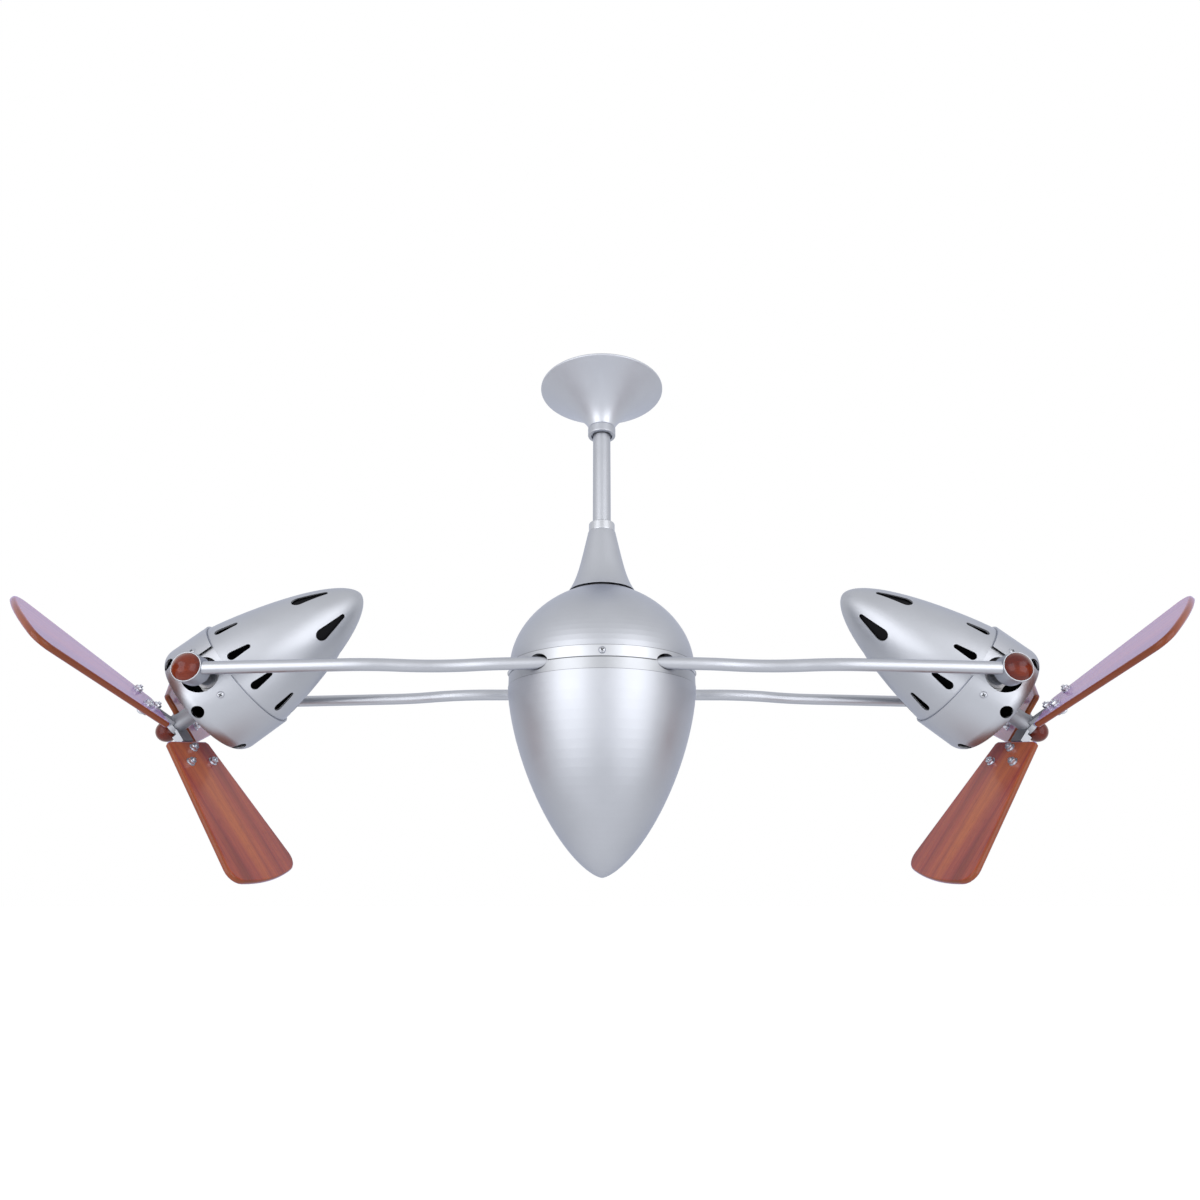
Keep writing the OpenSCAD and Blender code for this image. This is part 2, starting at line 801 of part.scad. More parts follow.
module slot_cuts(count, turn, s, a, b, len) {
    for (i = [0:count - 1]) rotate([0, 0, turn + 360 / count * i])
        translate([0, 0, s]) rotate([0, 90, 0]) linear_extrude(head_r + 10) teardrop(a, b, len);
}

module shell_screw_places() {
    for (side = [90, -90], off = [-shell_screw_turn, shell_screw_turn])
        rotate([0, 0, side + off]) translate([0, 0, shell_screw_s]) rotate([0, 90, 0]) children();
}

// Room along the tilt axis: the round opening, and for the nose its notch back to the seam
module pivot_room(r, half_w) {
    for (side = [1, -1]) {
        rotate([side * -90, 0, 0]) cylinder(r = r, h = through);
        if (half_w > 0) translate([-half_w, side > 0 ? 0 : -through, seam_s - 1])
            cube([2 * half_w, through, -seam_s + 1]);
    }
}

// Nose outline from the seam to the face, shrunk by the wall for its inside
function nose_points(inset) = concat(
    [[0, seam_s - (inset > 0 ? 1 : 0)], [head_r - inset, seam_s - (inset > 0 ? 1 : 0)]],
    [for (t = steps(10)) [
        head_r - nose_round_r + (nose_round_r - inset) * cos(90 * t),
        face_s - nose_round_r + (nose_round_r - inset) * sin(90 * t)]],
    [[0, face_s - inset]]);

module nose_shell() {
    difference() {
        rotate_extrude() polygon(nose_points(0));
        rotate_extrude() polygon(nose_points(head_wall));
        cylinder(r = nose_hole_r, h = through);
        pivot_room(pivot_opening_r + 1.6, notch_half_w);
        nose_vent_cuts();
        shell_screw_places() cylinder(r = screw_r + fit_gap, h = through);
    }
}

module tail_collar() {
    r = head_r - head_wall - seat_gap;
    translate([0, 0, seam_s - 1]) ring(r, r - head_wall, tail_collar_len + 1);
    intersection() {
        translate([0, 0, seam_s - 1]) ring(r, r - head_wall, tab_front_s - seam_s + 1);
        translate([-tab_half_w, -through / 2, seam_s - 1])
            cube([2 * tab_half_w, through, tab_front_s - seam_s + 1]);
    }
}

module tail_shell() {
    difference() {
        union() {
            translate([0, 0, seam_s]) mirror([0, 0, 1])
                spun_shell(tail_r, tail_len, tail_p, tail_q, head_wall, 30);
            tail_collar();
        }
        pivot_room(pivot_opening_r, 0);
        slot_cuts(small_slots, small_slot_turn, small_slot_s,
            small_slot_wide_r, small_slot_thin_r, small_slot_len);
        slot_cuts(large_slots, large_slot_turn, large_slot_s,
            large_slot_wide_r, large_slot_thin_r, large_slot_len);
    }
}

// ---------------------------------------------------------------- head insides

module head_yoke() {
    pad_out_r = head_r - head_wall - seat_gap;
    color(steel) difference() {
        union() {
            translate([0, 0, -yoke_half_h]) cylinder(r = yoke_r, h = 2 * yoke_half_h);
            for (side = [1, -1]) rotate([side * -90, 0, 0]) cylinder(r = boss_r, h = boss_out_y);
            shell_screw_places() cylinder(r = pad_r, h = pad_out_r);
        }
        cylinder(r = can_r + run_gap, h = through, center = true);
        for (side = [1, -1]) rotate([side * -90, 0, 0]) cylinder(r = bolt_r + fit_gap, h = through);
        shell_screw_places() cylinder(r = screw_r + fit_gap, h = through);
    }
}

// Housing of the motor, with a tapered chamber behind it for the capacitor and the wire joints; it
// is the dark body behind the tail's slots
module motor_housing() {
    boss = motor_bearing_r + 3;
    inner_r = can_r - can_wall;
    inner_bevel = can_bevel - can_wall + 4;
    color(dark) difference() {
        rotate_extrude() polygon([
            [0, chamber_end_s], [chamber_tip_r, chamber_end_s], [chamber_r, housing_back_s],
            [chamber_r, can_back_s], [can_r - can_bevel, can_back_s], [can_r, can_back_s + can_bevel],
            [can_r, can_front_s - can_bevel], [can_r - can_bevel, can_front_s],
            [boss, can_front_s], [boss, housing_front_s], [0, housing_front_s]
        ]);
        rotate_extrude() polygon([
            [0, can_back_s + can_wall], [can_r - inner_bevel, can_back_s + can_wall],
            [inner_r, can_back_s + inner_bevel], [inner_r, can_front_s - inner_bevel],
            [can_r - inner_bevel, can_front_s - can_wall], [0, can_front_s - can_wall]
        ]);
        rotate_extrude() polygon([
            [0, chamber_end_s + chamber_wall], [chamber_tip_r - chamber_wall, chamber_end_s + chamber_wall],
            [chamber_r - chamber_wall, housing_back_s], [chamber_r - chamber_wall, can_back_s],
            [boss, can_back_s], [boss, housing_back_s], [0, housing_back_s]
        ]);
        translate([0, 0, housing_back_s - 1]) cylinder(r = shaft_r + 1, h = through);
        translate([0, 0, housing_front_s - motor_bearing_h])
            cylinder(r = motor_bearing_r + fit_gap, h = 20);
        translate([0, 0, housing_back_s - 1])
            cylinder(r = motor_bearing_r + fit_gap, h = motor_bearing_h + 1);
    }
}

module motor_stator() {
    slots = 12;
    slot_w = 2.4;
    slot_depth = 8;
    winding_r = 5.5;
    color(copper) {
        difference() {
            translate([0, 0, core_s]) cylinder(r = can_r - can_wall - fit_gap, h = core_h);
            translate([0, 0, core_s - 1]) cylinder(r = stator_in_r, h = core_h + 2);
            for (i = [0:slots - 1]) rotate([0, 0, 360 / slots * i])
                translate([stator_in_r - 1, -slot_w / 2, core_s - 1]) cube([slot_depth + 1, slot_w, core_h + 2]);
        }
        for (s = [core_s, core_s + core_h]) translate([0, 0, s])
            rotate_extrude() translate([stator_in_r + winding_r + 2, 0]) circle(r = winding_r, $fn = 40);
    }
}

module motor_bearings() {
    color(steel) for (s = [housing_front_s - motor_bearing_h, housing_back_s])
        translate([0, 0, s]) bearing(shaft_r + run_gap, motor_bearing_r, motor_bearing_h);
}

module pivot_bolts() {
    color(steel) for (side = [1, -1]) rotate([side * -90, 0, 0]) {
        translate([0, 0, can_r + 1]) cylinder(r = bolt_r, h = pocket_floor_y - can_r);
        translate([0, 0, pocket_floor_y + seat_gap]) difference() {
            cylinder(r = bolt_head_r, h = bolt_head_h);
            translate([0, 0, 2]) cylinder(r = 3, h = bolt_head_h, $fn = 6);
        }
    }
}

module shell_screws() {
    color(steel) shell_screw_places() translate([0, 0, head_r + fit_gap])
        round_screw(screw_r, shell_screw_len, screw_head_r, shell_screw_head_h);
}

// ---------------------------------------------------------------- rotors

module motor_shaft() {
    back = housing_back_s + 1;
    color(steel) {
        translate([0, 0, back]) cylinder(r = shaft_r, h = shaft_end_s - back);
        translate([0, 0, core_s]) cylinder(r = rotor_r, h = core_h);
    }
}

// Arm that carries one blade: a block between the hub and the blade's root, and a plate on the
// blade's outer face with a round pad at each screw
module blade_iron() {
    pad = 6.5;
    w = iron_half_w;
    fork = blade_screw_places[1];
    // the pitched block stays below the hub's face, on which the finial sits
    iron_top = hub_face_s - blade_plane - w * sin(blade_pitch) - seat_gap;
    translate([0, 0, blade_t / 2]) linear_extrude(iron_t) {
        for (p = blade_screw_places) translate(p) circle(r = pad, $fn = 40);
        polygon([
            [iron_root_r, -w], [blade_screw_places[0][0], -w], [fork[0], -fork[1] - pad + 1],
            [fork[0] + 4.5, -fork[1]], [fork[0] + 0.5, 0], [fork[0] + 4.5, fork[1]],
            [fork[0], fork[1] + pad - 1], [blade_screw_places[0][0], w], [iron_root_r, w]
        ]);
    }
    translate([iron_root_r, -w, -blade_t / 2])
        cube([blade_root_r - iron_root_r - 0.5, 2 * w, blade_t + iron_t / 2]);
    translate([iron_inner_r, -w, -blade_t / 2])
        cube([iron_root_r - iron_inner_r + 1, 2 * w, blade_t / 2 + iron_top]);
}

module blade_screw_spots(i) {
    blade_place(i) for (p = blade_screw_places) translate(p) children();
}

module blade_hub() {
    disc_s = hub_face_s - hub_disc_t;
    color(bright) difference() {
        union() {
            translate([0, 0, hub_back_s]) cylinder(r = hub_tube_r, h = disc_s - hub_back_s + 1);
            translate([0, 0, disc_s]) cylinder(r = cup_r, h = hub_disc_t);
            translate([0, 0, hub_face_s - tiny]) ring(cup_r, cup_r - cup_wall, cup_h);
            for (i = [0:2]) blade_place(i) blade_iron();
        }
        translate([0, 0, hub_back_s - 1])
            cylinder(r = shaft_r + fit_gap, h = shaft_end_s + seat_gap - hub_back_s + 1);
        for (i = [0:2]) blade_screw_spots(i)
            cylinder(r = blade_screw_r + fit_gap, h = 30, center = true);
    }
}

// Blade outline: straight sides, round corners and a tip that is an arc of a circle
function blade_points() =
    let (
        half_tip = blade_tip_w / 2,
        half_root = blade_root_w / 2,
        tip_arc_r = (half_tip * half_tip + blade_bulge * blade_bulge) / (2 * blade_bulge),
        tip_c = blade_tip_r + blade_bulge - tip_arc_r,
        side = atan2(half_tip - half_root, blade_tip_r - blade_root_r),
        c = blade_corner_r,
        // the corner's centre lies c inside the side edge and c inside the tip arc
        off = half_root * cos(side) + blade_root_r * -sin(side) - c + tip_c * sin(side),
        reach = sqrt((tip_arc_r - c) * (tip_arc_r - c) - off * off),
        cx = tip_c + reach * cos(side) - off * sin(side),
        cy = reach * sin(side) + off * cos(side),
        turn = atan2(cy, cx - tip_c),
        upper = concat(
            [[blade_root_r, half_root - blade_root_corner_r],
             [blade_root_r + blade_root_corner_r, half_root + blade_root_corner_r * tan(side)]],
            arc_points([cx, cy], c, 90 + side, turn, 6),
            arc_points([tip_c, 0], tip_arc_r, turn, 0, 8)),
        lower = [for (i = [len(upper) - 2:-1:0]) [upper[i][0], -upper[i][1]]]
    ) concat(upper, lower);

module blade(i) {
    color(wood) blade_place(i) translate([0, 0, -blade_t / 2]) difference() {
        linear_extrude(blade_t) polygon(blade_points());
        for (p = blade_screw_places) translate([p[0], p[1], -1])
            cylinder(r = blade_screw_r + fit_gap, h = blade_t + 2);
    }
}

module blade_screws() {
    len = blade_t + iron_t + blade_nut_h + 3;
    color(bright) for (i = [0:2]) blade_screw_spots(i)
        translate([0, 0, blade_t / 2 + iron_t + run_gap])
            round_screw(blade_screw_r, len, blade_screw_head_r, blade_screw_head_h);
}

module blade_nuts() {
    washer_r = 5;
    washer_t = 0.8;
    color(bright) for (i = [0:2]) blade_screw_spots(i)
        translate([0, 0, -blade_t / 2 - run_gap]) mirror([0, 0, 1]) difference() {
            union() {
                cylinder(r = washer_r, h = washer_t);
                translate([0, 0, washer_t - tiny]) cylinder(r = blade_nut_r, h = blade_nut_h, $fn = 6);
            }
            translate([0, 0, -1]) cylinder(r = blade_screw_r + fit_gap, h = 20);
        }
}

module finial() {
    foot_r = cup_r - cup_wall - seat_gap;
    half = asin(foot_r / finial_r);
    ball_s = cup_h * 0.8 + finial_r * cos(half);
    color(wood) translate([0, 0, hub_face_s + run_gap]) rotate_extrude() polygon(concat(
        [[0, 0], [foot_r, 0]],
        [for (t = steps(16)) let (a = (180 - half) * (1 - t))
            [finial_r * sin(a), ball_s + finial_r * cos(a)]]));
}

// ---------------------------------------------------------------- left and right nodes

module nose_shell_left() {
    color(nickel) head_place() nose_shell();
}

module tail_shell_left() {
    color(nickel) head_place() tail_shell();
}

module head_yoke_left() {
    head_place() head_yoke();
}

module motor_housing_left() {
    head_place() motor_housing();
}

module motor_stator_left() {
    head_place() motor_stator();
}

module motor_bearings_left() {
    head_place() motor_bearings();
}

module pivot_bolts_left() {
    head_place() pivot_bolts();
}

module shell_screws_left() {
    head_place() shell_screws();
}

module motor_shaft_left() {
    head_place() motor_shaft();
}

module blade_hub_left() {
    head_place() blade_hub();
}

module blade_upper_left() {
    head_place() blade(0);
}

module blade_lower_left() {
    head_place() blade(1);
}

module blade_rear_left() {
    head_place() blade(2);
}

module blade_screws_left() {
    head_place() blade_screws();
}

module blade_nuts_left() {
    head_place() blade_nuts();
}

module finial_left() {
    head_place() finial();
}

hanger_bracket();
hanger_ball();
downrod();
cross_pins();
canopy();
canopy_collar();
lower_collar();
bell_cover();
spindle();
slip_ring_core();
slip_rings();
spindle_nut();
collar_set_screws();
dome();
upper_band();
lower_band();
lower_cone();
arm_carrier();
arm_clamps();
carousel_screws();
main_bearings();
brush_block();
arm_front_left();
arm_rear_left();
arm_front_right();
arm_rear_right();
pivot_sleeves();
pivot_caps();
nose_shell_left();
tail_shell_left();
head_yoke_left();
motor_housing_left();
motor_stator_left();
motor_bearings_left();
pivot_bolts_left();
shell_screws_left();
motor_shaft_left();
blade_hub_left();
blade_upper_left();
blade_lower_left();
blade_rear_left();
blade_screws_left();
blade_nuts_left();
finial_left();
as_right() nose_shell_left();  // nose_shell_right
as_right() tail_shell_left();  // tail_shell_right
as_right() head_yoke_left();  // head_yoke_right
as_right() motor_housing_left();  // motor_housing_right
as_right() motor_stator_left();  // motor_stator_right
as_right() motor_bearings_left();  // motor_bearings_right
as_right() pivot_bolts_left();  // pivot_bolts_right
as_right() shell_screws_left();  // shell_screws_right
as_right() motor_shaft_left();  // motor_shaft_right
as_right() blade_hub_left();  // blade_hub_right
as_right() blade_upper_left();  // blade_upper_right
as_right() blade_lower_left();  // blade_lower_right
as_right() blade_rear_left();  // blade_rear_right
as_right() blade_screws_left();  // blade_screws_right
as_right() blade_nuts_left();  // blade_nuts_right
as_right() finial_left();  // finial_right
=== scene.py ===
"""Looks of a twin head ceiling fan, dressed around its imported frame.

Sizes are in metres and angles in degrees, in the frame's own axes: the origin is at the ceiling
above the downrod, +Z is up and the viewer stands towards -Y. Node trees come first, then finishes,
meshes, screws and nuts, the heads' places, the sub-assemblies and the studio.
"""

import json
import logging
import math
from dataclasses import dataclass, field, replace
from enum import Enum
from typing import ClassVar, Iterator, Sequence

import bmesh
import bpy
from mathutils import Matrix, Vector


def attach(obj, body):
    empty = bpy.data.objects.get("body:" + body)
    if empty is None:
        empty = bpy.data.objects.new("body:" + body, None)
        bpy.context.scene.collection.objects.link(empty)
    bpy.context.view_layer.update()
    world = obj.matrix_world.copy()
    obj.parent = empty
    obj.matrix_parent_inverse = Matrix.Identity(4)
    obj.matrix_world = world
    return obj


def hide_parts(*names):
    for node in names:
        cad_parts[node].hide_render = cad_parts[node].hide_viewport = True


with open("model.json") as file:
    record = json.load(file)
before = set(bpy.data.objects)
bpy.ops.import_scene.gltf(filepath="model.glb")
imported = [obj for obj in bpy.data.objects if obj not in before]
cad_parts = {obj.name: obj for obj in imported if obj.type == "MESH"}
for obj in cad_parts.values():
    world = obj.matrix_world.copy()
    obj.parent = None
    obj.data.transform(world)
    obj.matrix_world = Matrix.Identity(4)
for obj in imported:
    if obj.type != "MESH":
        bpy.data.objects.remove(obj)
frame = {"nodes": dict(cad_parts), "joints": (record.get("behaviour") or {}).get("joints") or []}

LOG = logging.getLogger("twin_head_fan")
MM = 0.001
MERGE = 0.00001  # points nearer than this are one
FLAT = math.radians(0.3)  # faces that meet at less than this are one
SHAPE_CREASE = 35.0  # edges of screws and nuts that turn more than this stay sharp
COPY_CREASE = 50.0  # the same for rounded copies
SEED = 7  # of the chance turns of screws and nuts
RIM = "rim"  # the attribute that marks the rim of a blade
BLADES = 3
BALL_SIDES, BALL_RINGS = 28, 18  # of a screw's round head
SHANK_SIDES, THREAD_STEPS = 16, 14
CROWN_SIDES, CROWN_RINGS = 36, 24  # of the ball that turns a nut's corners
HEXAGON, BORE_SIDES, WASHER_SIDES = 6, 24, 32

Colour = tuple[float, float, float]
Pair = tuple[float, float]
Socket = bpy.types.NodeSocket
Piece = bpy.types.Object
RawMesh = bmesh.types.BMesh

WHITE: Colour = (1.0, 1.0, 1.0)
ORIGIN = Vector()
UP = Vector((0.0, 0.0, 1.0))
UNTURNED = Matrix.Identity(3)


class Side(Enum):
    """The fan's two heads, by the sign of X on which they hang."""

    LEFT = -1
    RIGHT = 1

    @property
    def word(self) -> str:
        """The ending that this side's nodes have in their names."""
        return self.name.lower()


class Brushing(Enum):
    """How a metal surface was worked, as the stretch of its fine lines along X, Y and Z."""

    TURNED = (1.0, 1.0, 60.0)
    DRAWN = (0.02, 1.0, 1.0)
    BLASTED = (1.0, 1.0, 1.0)


class GrainSource(Enum):
    """What the wood's grain follows: the piece's own map, or its own axes."""

    MAP = "grain"
    OBJECT = "object"


# ------------------------------------------------------------------ node trees


class Wiring:
    """A node tree, with short calls to add nodes and wire them."""

    def __init__(self, tree: bpy.types.NodeTree) -> None:
        """Takes up a tree."""
        self.tree = tree

    def add(self, kind: str, settings: dict | None = None, **sockets: object) -> bpy.types.Node:
        """Adds a node.

        Args:
            kind: the node's type.
            settings: properties of the node itself.
            **sockets: values or outputs for its inputs, with _ for each space.

        Returns:
            The new node.
        """
        node = self.tree.nodes.new(kind)
        for key, value in (settings or {}).items():
            setattr(node, key, value)
        self.fill(node, **sockets)
        return node

    def fill(self, node: bpy.types.Node, **sockets: object) -> None:
        """Sets or wires a node's inputs by name.

        Args:
            node: the node.
            **sockets: values or outputs for its inputs, with _ for each space.
        """
        for key, value in sockets.items():
            name = key.replace("_", " ")
            self.feed(next(s for s in node.inputs if s.name.lower() == name and s.enabled), value)

    def feed(self, socket: Socket, value: object) -> None:
        """Sets an input, or wires an output to it.

        Args:
            socket: the input.
            value: a number, a vector, a colour of three parts or an output.
        """
        if isinstance(value, Socket):
            self.tree.links.new(value, socket)
        else:
            socket.default_value = (*value, 1.0) if socket.type == "RGBA" else value

    def reckon(self, operation: str, first: object, second: object = 0.0) -> Socket:
        """One step of arithmetic.

        Args:
            operation: what is done.
            first: a number or an output.
            second: another, where the operation takes two.

        Returns:
            The result's output.
        """
        node = self.add("ShaderNodeMath", {"operation": operation})
        self.feed(node.inputs[0], first)
        self.feed(node.inputs[1], second)
        return node.outputs[0]


class Shader(Wiring):
    """A material's tree around one Principled shader, in the axes of the piece that wears it."""

    def __init__(self, name: str, centre: Vector = ORIGIN, turn: Matrix = UNTURNED) -> None:
        """Starts an empty tree.

        Args:
            name: the material's name.
            centre: the piece's own origin in the frame.
            turn: its axes as a rotation.
        """
        self.material = bpy.data.materials.new(name)
        self.material.use_nodes = True
        super().__init__(self.material.node_tree)
        self.tree.nodes.clear()
        self.centre, self.turn = centre, turn
        self.surface = self.add("ShaderNodeBsdfPrincipled")
        self.add("ShaderNodeOutputMaterial", surface=self.surface.outputs["BSDF"])

    def coat(self, **sockets: object) -> None:
        """Sets or wires inputs of the Principled shader, named as in add."""
        self.fill(self.surface, **sockets)

    def place(self, stretch: Sequence[float] = (1.0, 1.0, 1.0)) -> Socket:
        """Object coordinates in the piece's own axes, stretched along them.

        Args:
            stretch: how much finer the pattern is along each of the axes.

        Returns:
            The vector output.
        """
        coordinates = self.add("ShaderNodeTexCoord").outputs["Object"]
        mapping = self.add("ShaderNodeMapping", {"vector_type": "TEXTURE"}, vector=coordinates,
                           location=self.centre, rotation=self.turn.to_euler(),
                           scale=[1.0 / s for s in stretch])
        return mapping.outputs["Vector"]

    def noise(self, vector: Socket, scale: float, detail: float = 3.0, roughness: float = 0.55) -> Socket:
        """Noise between 0 and 1 at a scale per metre."""
        return self.add("ShaderNodeTexNoise", scale=scale, detail=detail, roughness=roughness,
                        vector=vector).outputs["Fac"]

    def ramp(self, factor: Socket, stops: Sequence[tuple[float, Colour]]) -> Socket:
        """A colour ramp.

        Args:
            factor: what runs along the ramp.
            stops: places from 0 to 1 with their colours.

        Returns:
            The colour output.
        """
        node = self.add("ShaderNodeValToRGB", fac=factor)
        elements = node.color_ramp.elements
        while len(elements) < len(stops):
            elements.new(0.5)
        for element, (place, colour) in zip(elements, stops):
            element.position = place
            element.color = (*colour, 1.0)
        return node.outputs["Color"]

    def tones(self, factor: Socket, colour: Colour, *stops: Pair) -> Socket:
        """A ramp through lighter and darker tones of one colour.

        Args:
            factor: what runs along the ramp.
            colour: the colour.
            *stops: places from 0 to 1, each with what the colour is multiplied by there.

        Returns:
            The colour output.
        """
        return self.ramp(factor, [(place, tinted(colour, by)) for place, by in stops])

    def span(self, factor: Socket, low: float, high: float, start: float = 0.3, end: float = 0.7) -> Socket:
        """Maps a factor from start..end to low..high."""
        return self.add("ShaderNodeMapRange", value=factor, from_min=start, from_max=end,
                        to_min=low, to_max=high).outputs["Result"]

    def blend(self, factor: object, first: object, second: object) -> Socket:
        """Mixes two colours.

        Args:
            factor: share of the second colour, as a number or an output.
            first: the lower colour.
            second: the upper colour.

        Returns:
            The colour output.
        """
        node = self.add("ShaderNodeMix", {"data_type": "RGBA"})
        for index, value in ((0, factor), (6, first), (7, second)):
            self.feed(node.inputs[index], value)
        return node.outputs[2]

    def bump(self, height: Socket, depth: float) -> None:
        """Puts relief on the shader.

        Args:
            height: what rises and falls, between 0 and 1.
            depth: its real depth.
        """
        node = self.add("ShaderNodeBump", height=height, distance=depth, strength=1.0)
        self.coat(normal=node.outputs["Normal"])


# ------------------------------------------------------------------ finishes


def tinted(colour: Colour, factor: float) -> Colour:
    """A colour made lighter or darker by a factor."""
    return tuple(min(1.0, c * factor) for c in colour)


@dataclass(frozen=True)
class Finish:
    """A finish: what it is called, its slot, its colour and how rough it is."""

    name: str
    slot: str
    colour: Colour
    roughness: float

    def made(self, centre: Vector = ORIGIN, turn: Matrix = UNTURNED) -> bpy.types.Material:
        """The material for a piece whose own axes stand at a place in the frame.

        Args:
            centre: the piece's own origin.
            turn: its axes as a rotation.

        Returns:
            The material.
        """
        shader = Shader(self.name, centre, turn)
        self.dress(shader)
        return shader.material

    def dress(self, shader: Shader) -> None:
        """Wires the finish's own nodes; each kind of finish has its own."""
        raise NotImplementedError


@dataclass(frozen=True)
class BrushedMetal(Finish):
    """Metal with fine working lines, faint smudges and a slightly uneven sheen."""

    brushing: Brushing = Brushing.BLASTED
    line_scale: float = 260.0
    line_share: float = 0.2
    smudge_scale: float = 26.0
    fine_scale: float = 2400.0
    spread: float = 0.03
    depth: float = 0.012 * MM
    edge_tint: Colour = (0.78, 0.82, 0.95)
    # Heights of seams drawn as dark lines of painted shade, with their width and how dark they are.
    joints: tuple[float, ...] = ()
    joint_w: float = 0.9 * MM
    joint_tone: float = 0.3

    def dress(self, shader: Shader) -> None:
        """Lines along the working direction, over broad smudges, with painted shade as dark lines along the
        seams between parts.

        Args:
            shader: the tree.
        """
        body = shader.place()
        lines = shader.noise(shader.place(self.brushing.value), self.line_scale, 4.0, 0.6)
        smudges = shader.noise(body, self.smudge_scale, 4.0, 0.6)
        fine = shader.noise(body, self.fine_scale, 2.0, 0.5)
        base = shader.tones(smudges, self.colour, (0.3, 1 - self.spread), (0.7, 1 + self.spread))
        lined = shader.blend(self.line_share, base, shader.tones(lines, self.colour, (0.3, 0.9), (0.7, 1.08)))
        # Painted shade: the colour is darkened along each seam.
        for height in self.joints:
            near = self.nearness(shader, body, height)
            lined = shader.blend(near, lined, tinted(self.colour, self.joint_tone))
        shader.coat(base_color=lined, metallic=1.0, specular_tint=self.edge_tint,
                    roughness=shader.span(smudges, self.roughness - 0.03, self.roughness + 0.04))
        shader.bump(shader.reckon("ADD", lines, fine), self.depth)

    def nearness(self, shader: Shader, body: Socket, height: float) -> Socket:
        """How near a point is to a joint: 1 at the joint's height, 0 beyond its width.

        Args:
            shader: the tree.
            body: the piece's coordinates.
            height: the joint's height.

        Returns:
            The factor's output.
        """
        rise = shader.add("ShaderNodeSeparateXYZ", vector=body).outputs["Z"]
        off = shader.reckon("ABSOLUTE", shader.reckon("SUBTRACT", rise, height))
        return shader.span(off, 1.0, 0.0, self.joint_w * 0.3, self.joint_w * 0.7)


@dataclass(frozen=True)
class SpangledZinc(Finish):
    """Hot dipped zinc with its crystal flowers."""

    flower: float = 6.0 * MM
    skin_scale: float = 700.0
    skin: float = 0.04 * MM

    def dress(self, shader: Shader) -> None:
        """Cells of slightly different greys, each with its own sheen.

        Args:
            shader: the tree.
        """
        body = shader.place()
        cells = shader.add("ShaderNodeTexVoronoi", vector=body, scale=1.0 / self.flower)
        grey = shader.add("ShaderNodeSeparateColor", color=cells.outputs["Color"]).outputs[0]
        shader.coat(base_color=shader.tones(grey, self.colour, (0.0, 0.8), (1.0, 1.15)), metallic=1.0,
                    roughness=shader.span(grey, self.roughness - 0.1, self.roughness + 0.1, 0.0, 1.0))
        shader.bump(shader.noise(body, self.skin_scale), self.skin)


@dataclass(frozen=True)
class SandCast(Finish):
    """Cast metal with the coarse skin of its mould."""

    pit_scale: float = 900.0
    broad_scale: float = 60.0
    skin: float = 0.12 * MM

    def dress(self, shader: Shader) -> None:
        """A pitted skin with dull hollows.

        Args:
            shader: the tree.
        """
        body = shader.place()
        pits = shader.noise(body, self.pit_scale, 5.0, 0.7)
        base = shader.tones(pits, self.colour, (0.3, 0.72), (0.65, 1.0))
        broad = shader.tones(shader.noise(body, self.broad_scale), self.colour, (0.3, 0.85), (0.7, 1.0))
        shader.coat(base_color=shader.blend(0.3, base, broad), metallic=1.0,
                    roughness=shader.span(pits, self.roughness + 0.1, self.roughness - 0.05))
        shader.bump(pits, self.skin)


@dataclass(frozen=True)
class Enamel(Finish):
    """Dark paint or moulded plastic: a fine orange peel over an even colour."""

    peel: float = 0.03 * MM
    peel_scale: float = 800.0
    dust_scale: float = 90.0
    specular: float = 0.5

    def dress(self, shader: Shader) -> None:
        """Even colour with a little dust in the hollows.

        Args:
            shader: the tree.
        """
        body = shader.place()
        dust = shader.noise(body, self.dust_scale, 4.0, 0.65)
        shader.coat(base_color=shader.tones(dust, self.colour, (0.35, 1.0), (0.8, 1.8)),
                    specular_ior_level=self.specular,
                    roughness=shader.span(dust, self.roughness - 0.06, self.roughness + 0.1))
        shader.bump(shader.noise(body, self.peel_scale, 2.0), self.peel)


@dataclass(frozen=True)
class WoundCopper(Finish):
    """Enamelled copper wire, wound close, in rings about the piece's own Z axis."""

    wire: float = 0.6 * MM
    relief: float = 0.1 * MM

    def dress(self, shader: Shader) -> None:
        """Bands one wire wide, darker where they sink between the turns: painted shade.

        Args:
            shader: the tree.
        """
        bands = shader.add("ShaderNodeTexWave", {"bands_direction": "Z"}, vector=shader.place(),
                           scale=0.05 / self.wire, distortion=0.6, detail=2.0).outputs["Fac"]
        shader.coat(base_color=shader.tones(bands, self.colour, (0.1, 0.35), (0.6, 1.0)), metallic=1.0,
                    roughness=shader.span(bands, self.roughness + 0.1, self.roughness))
        shader.bump(bands, self.relief)


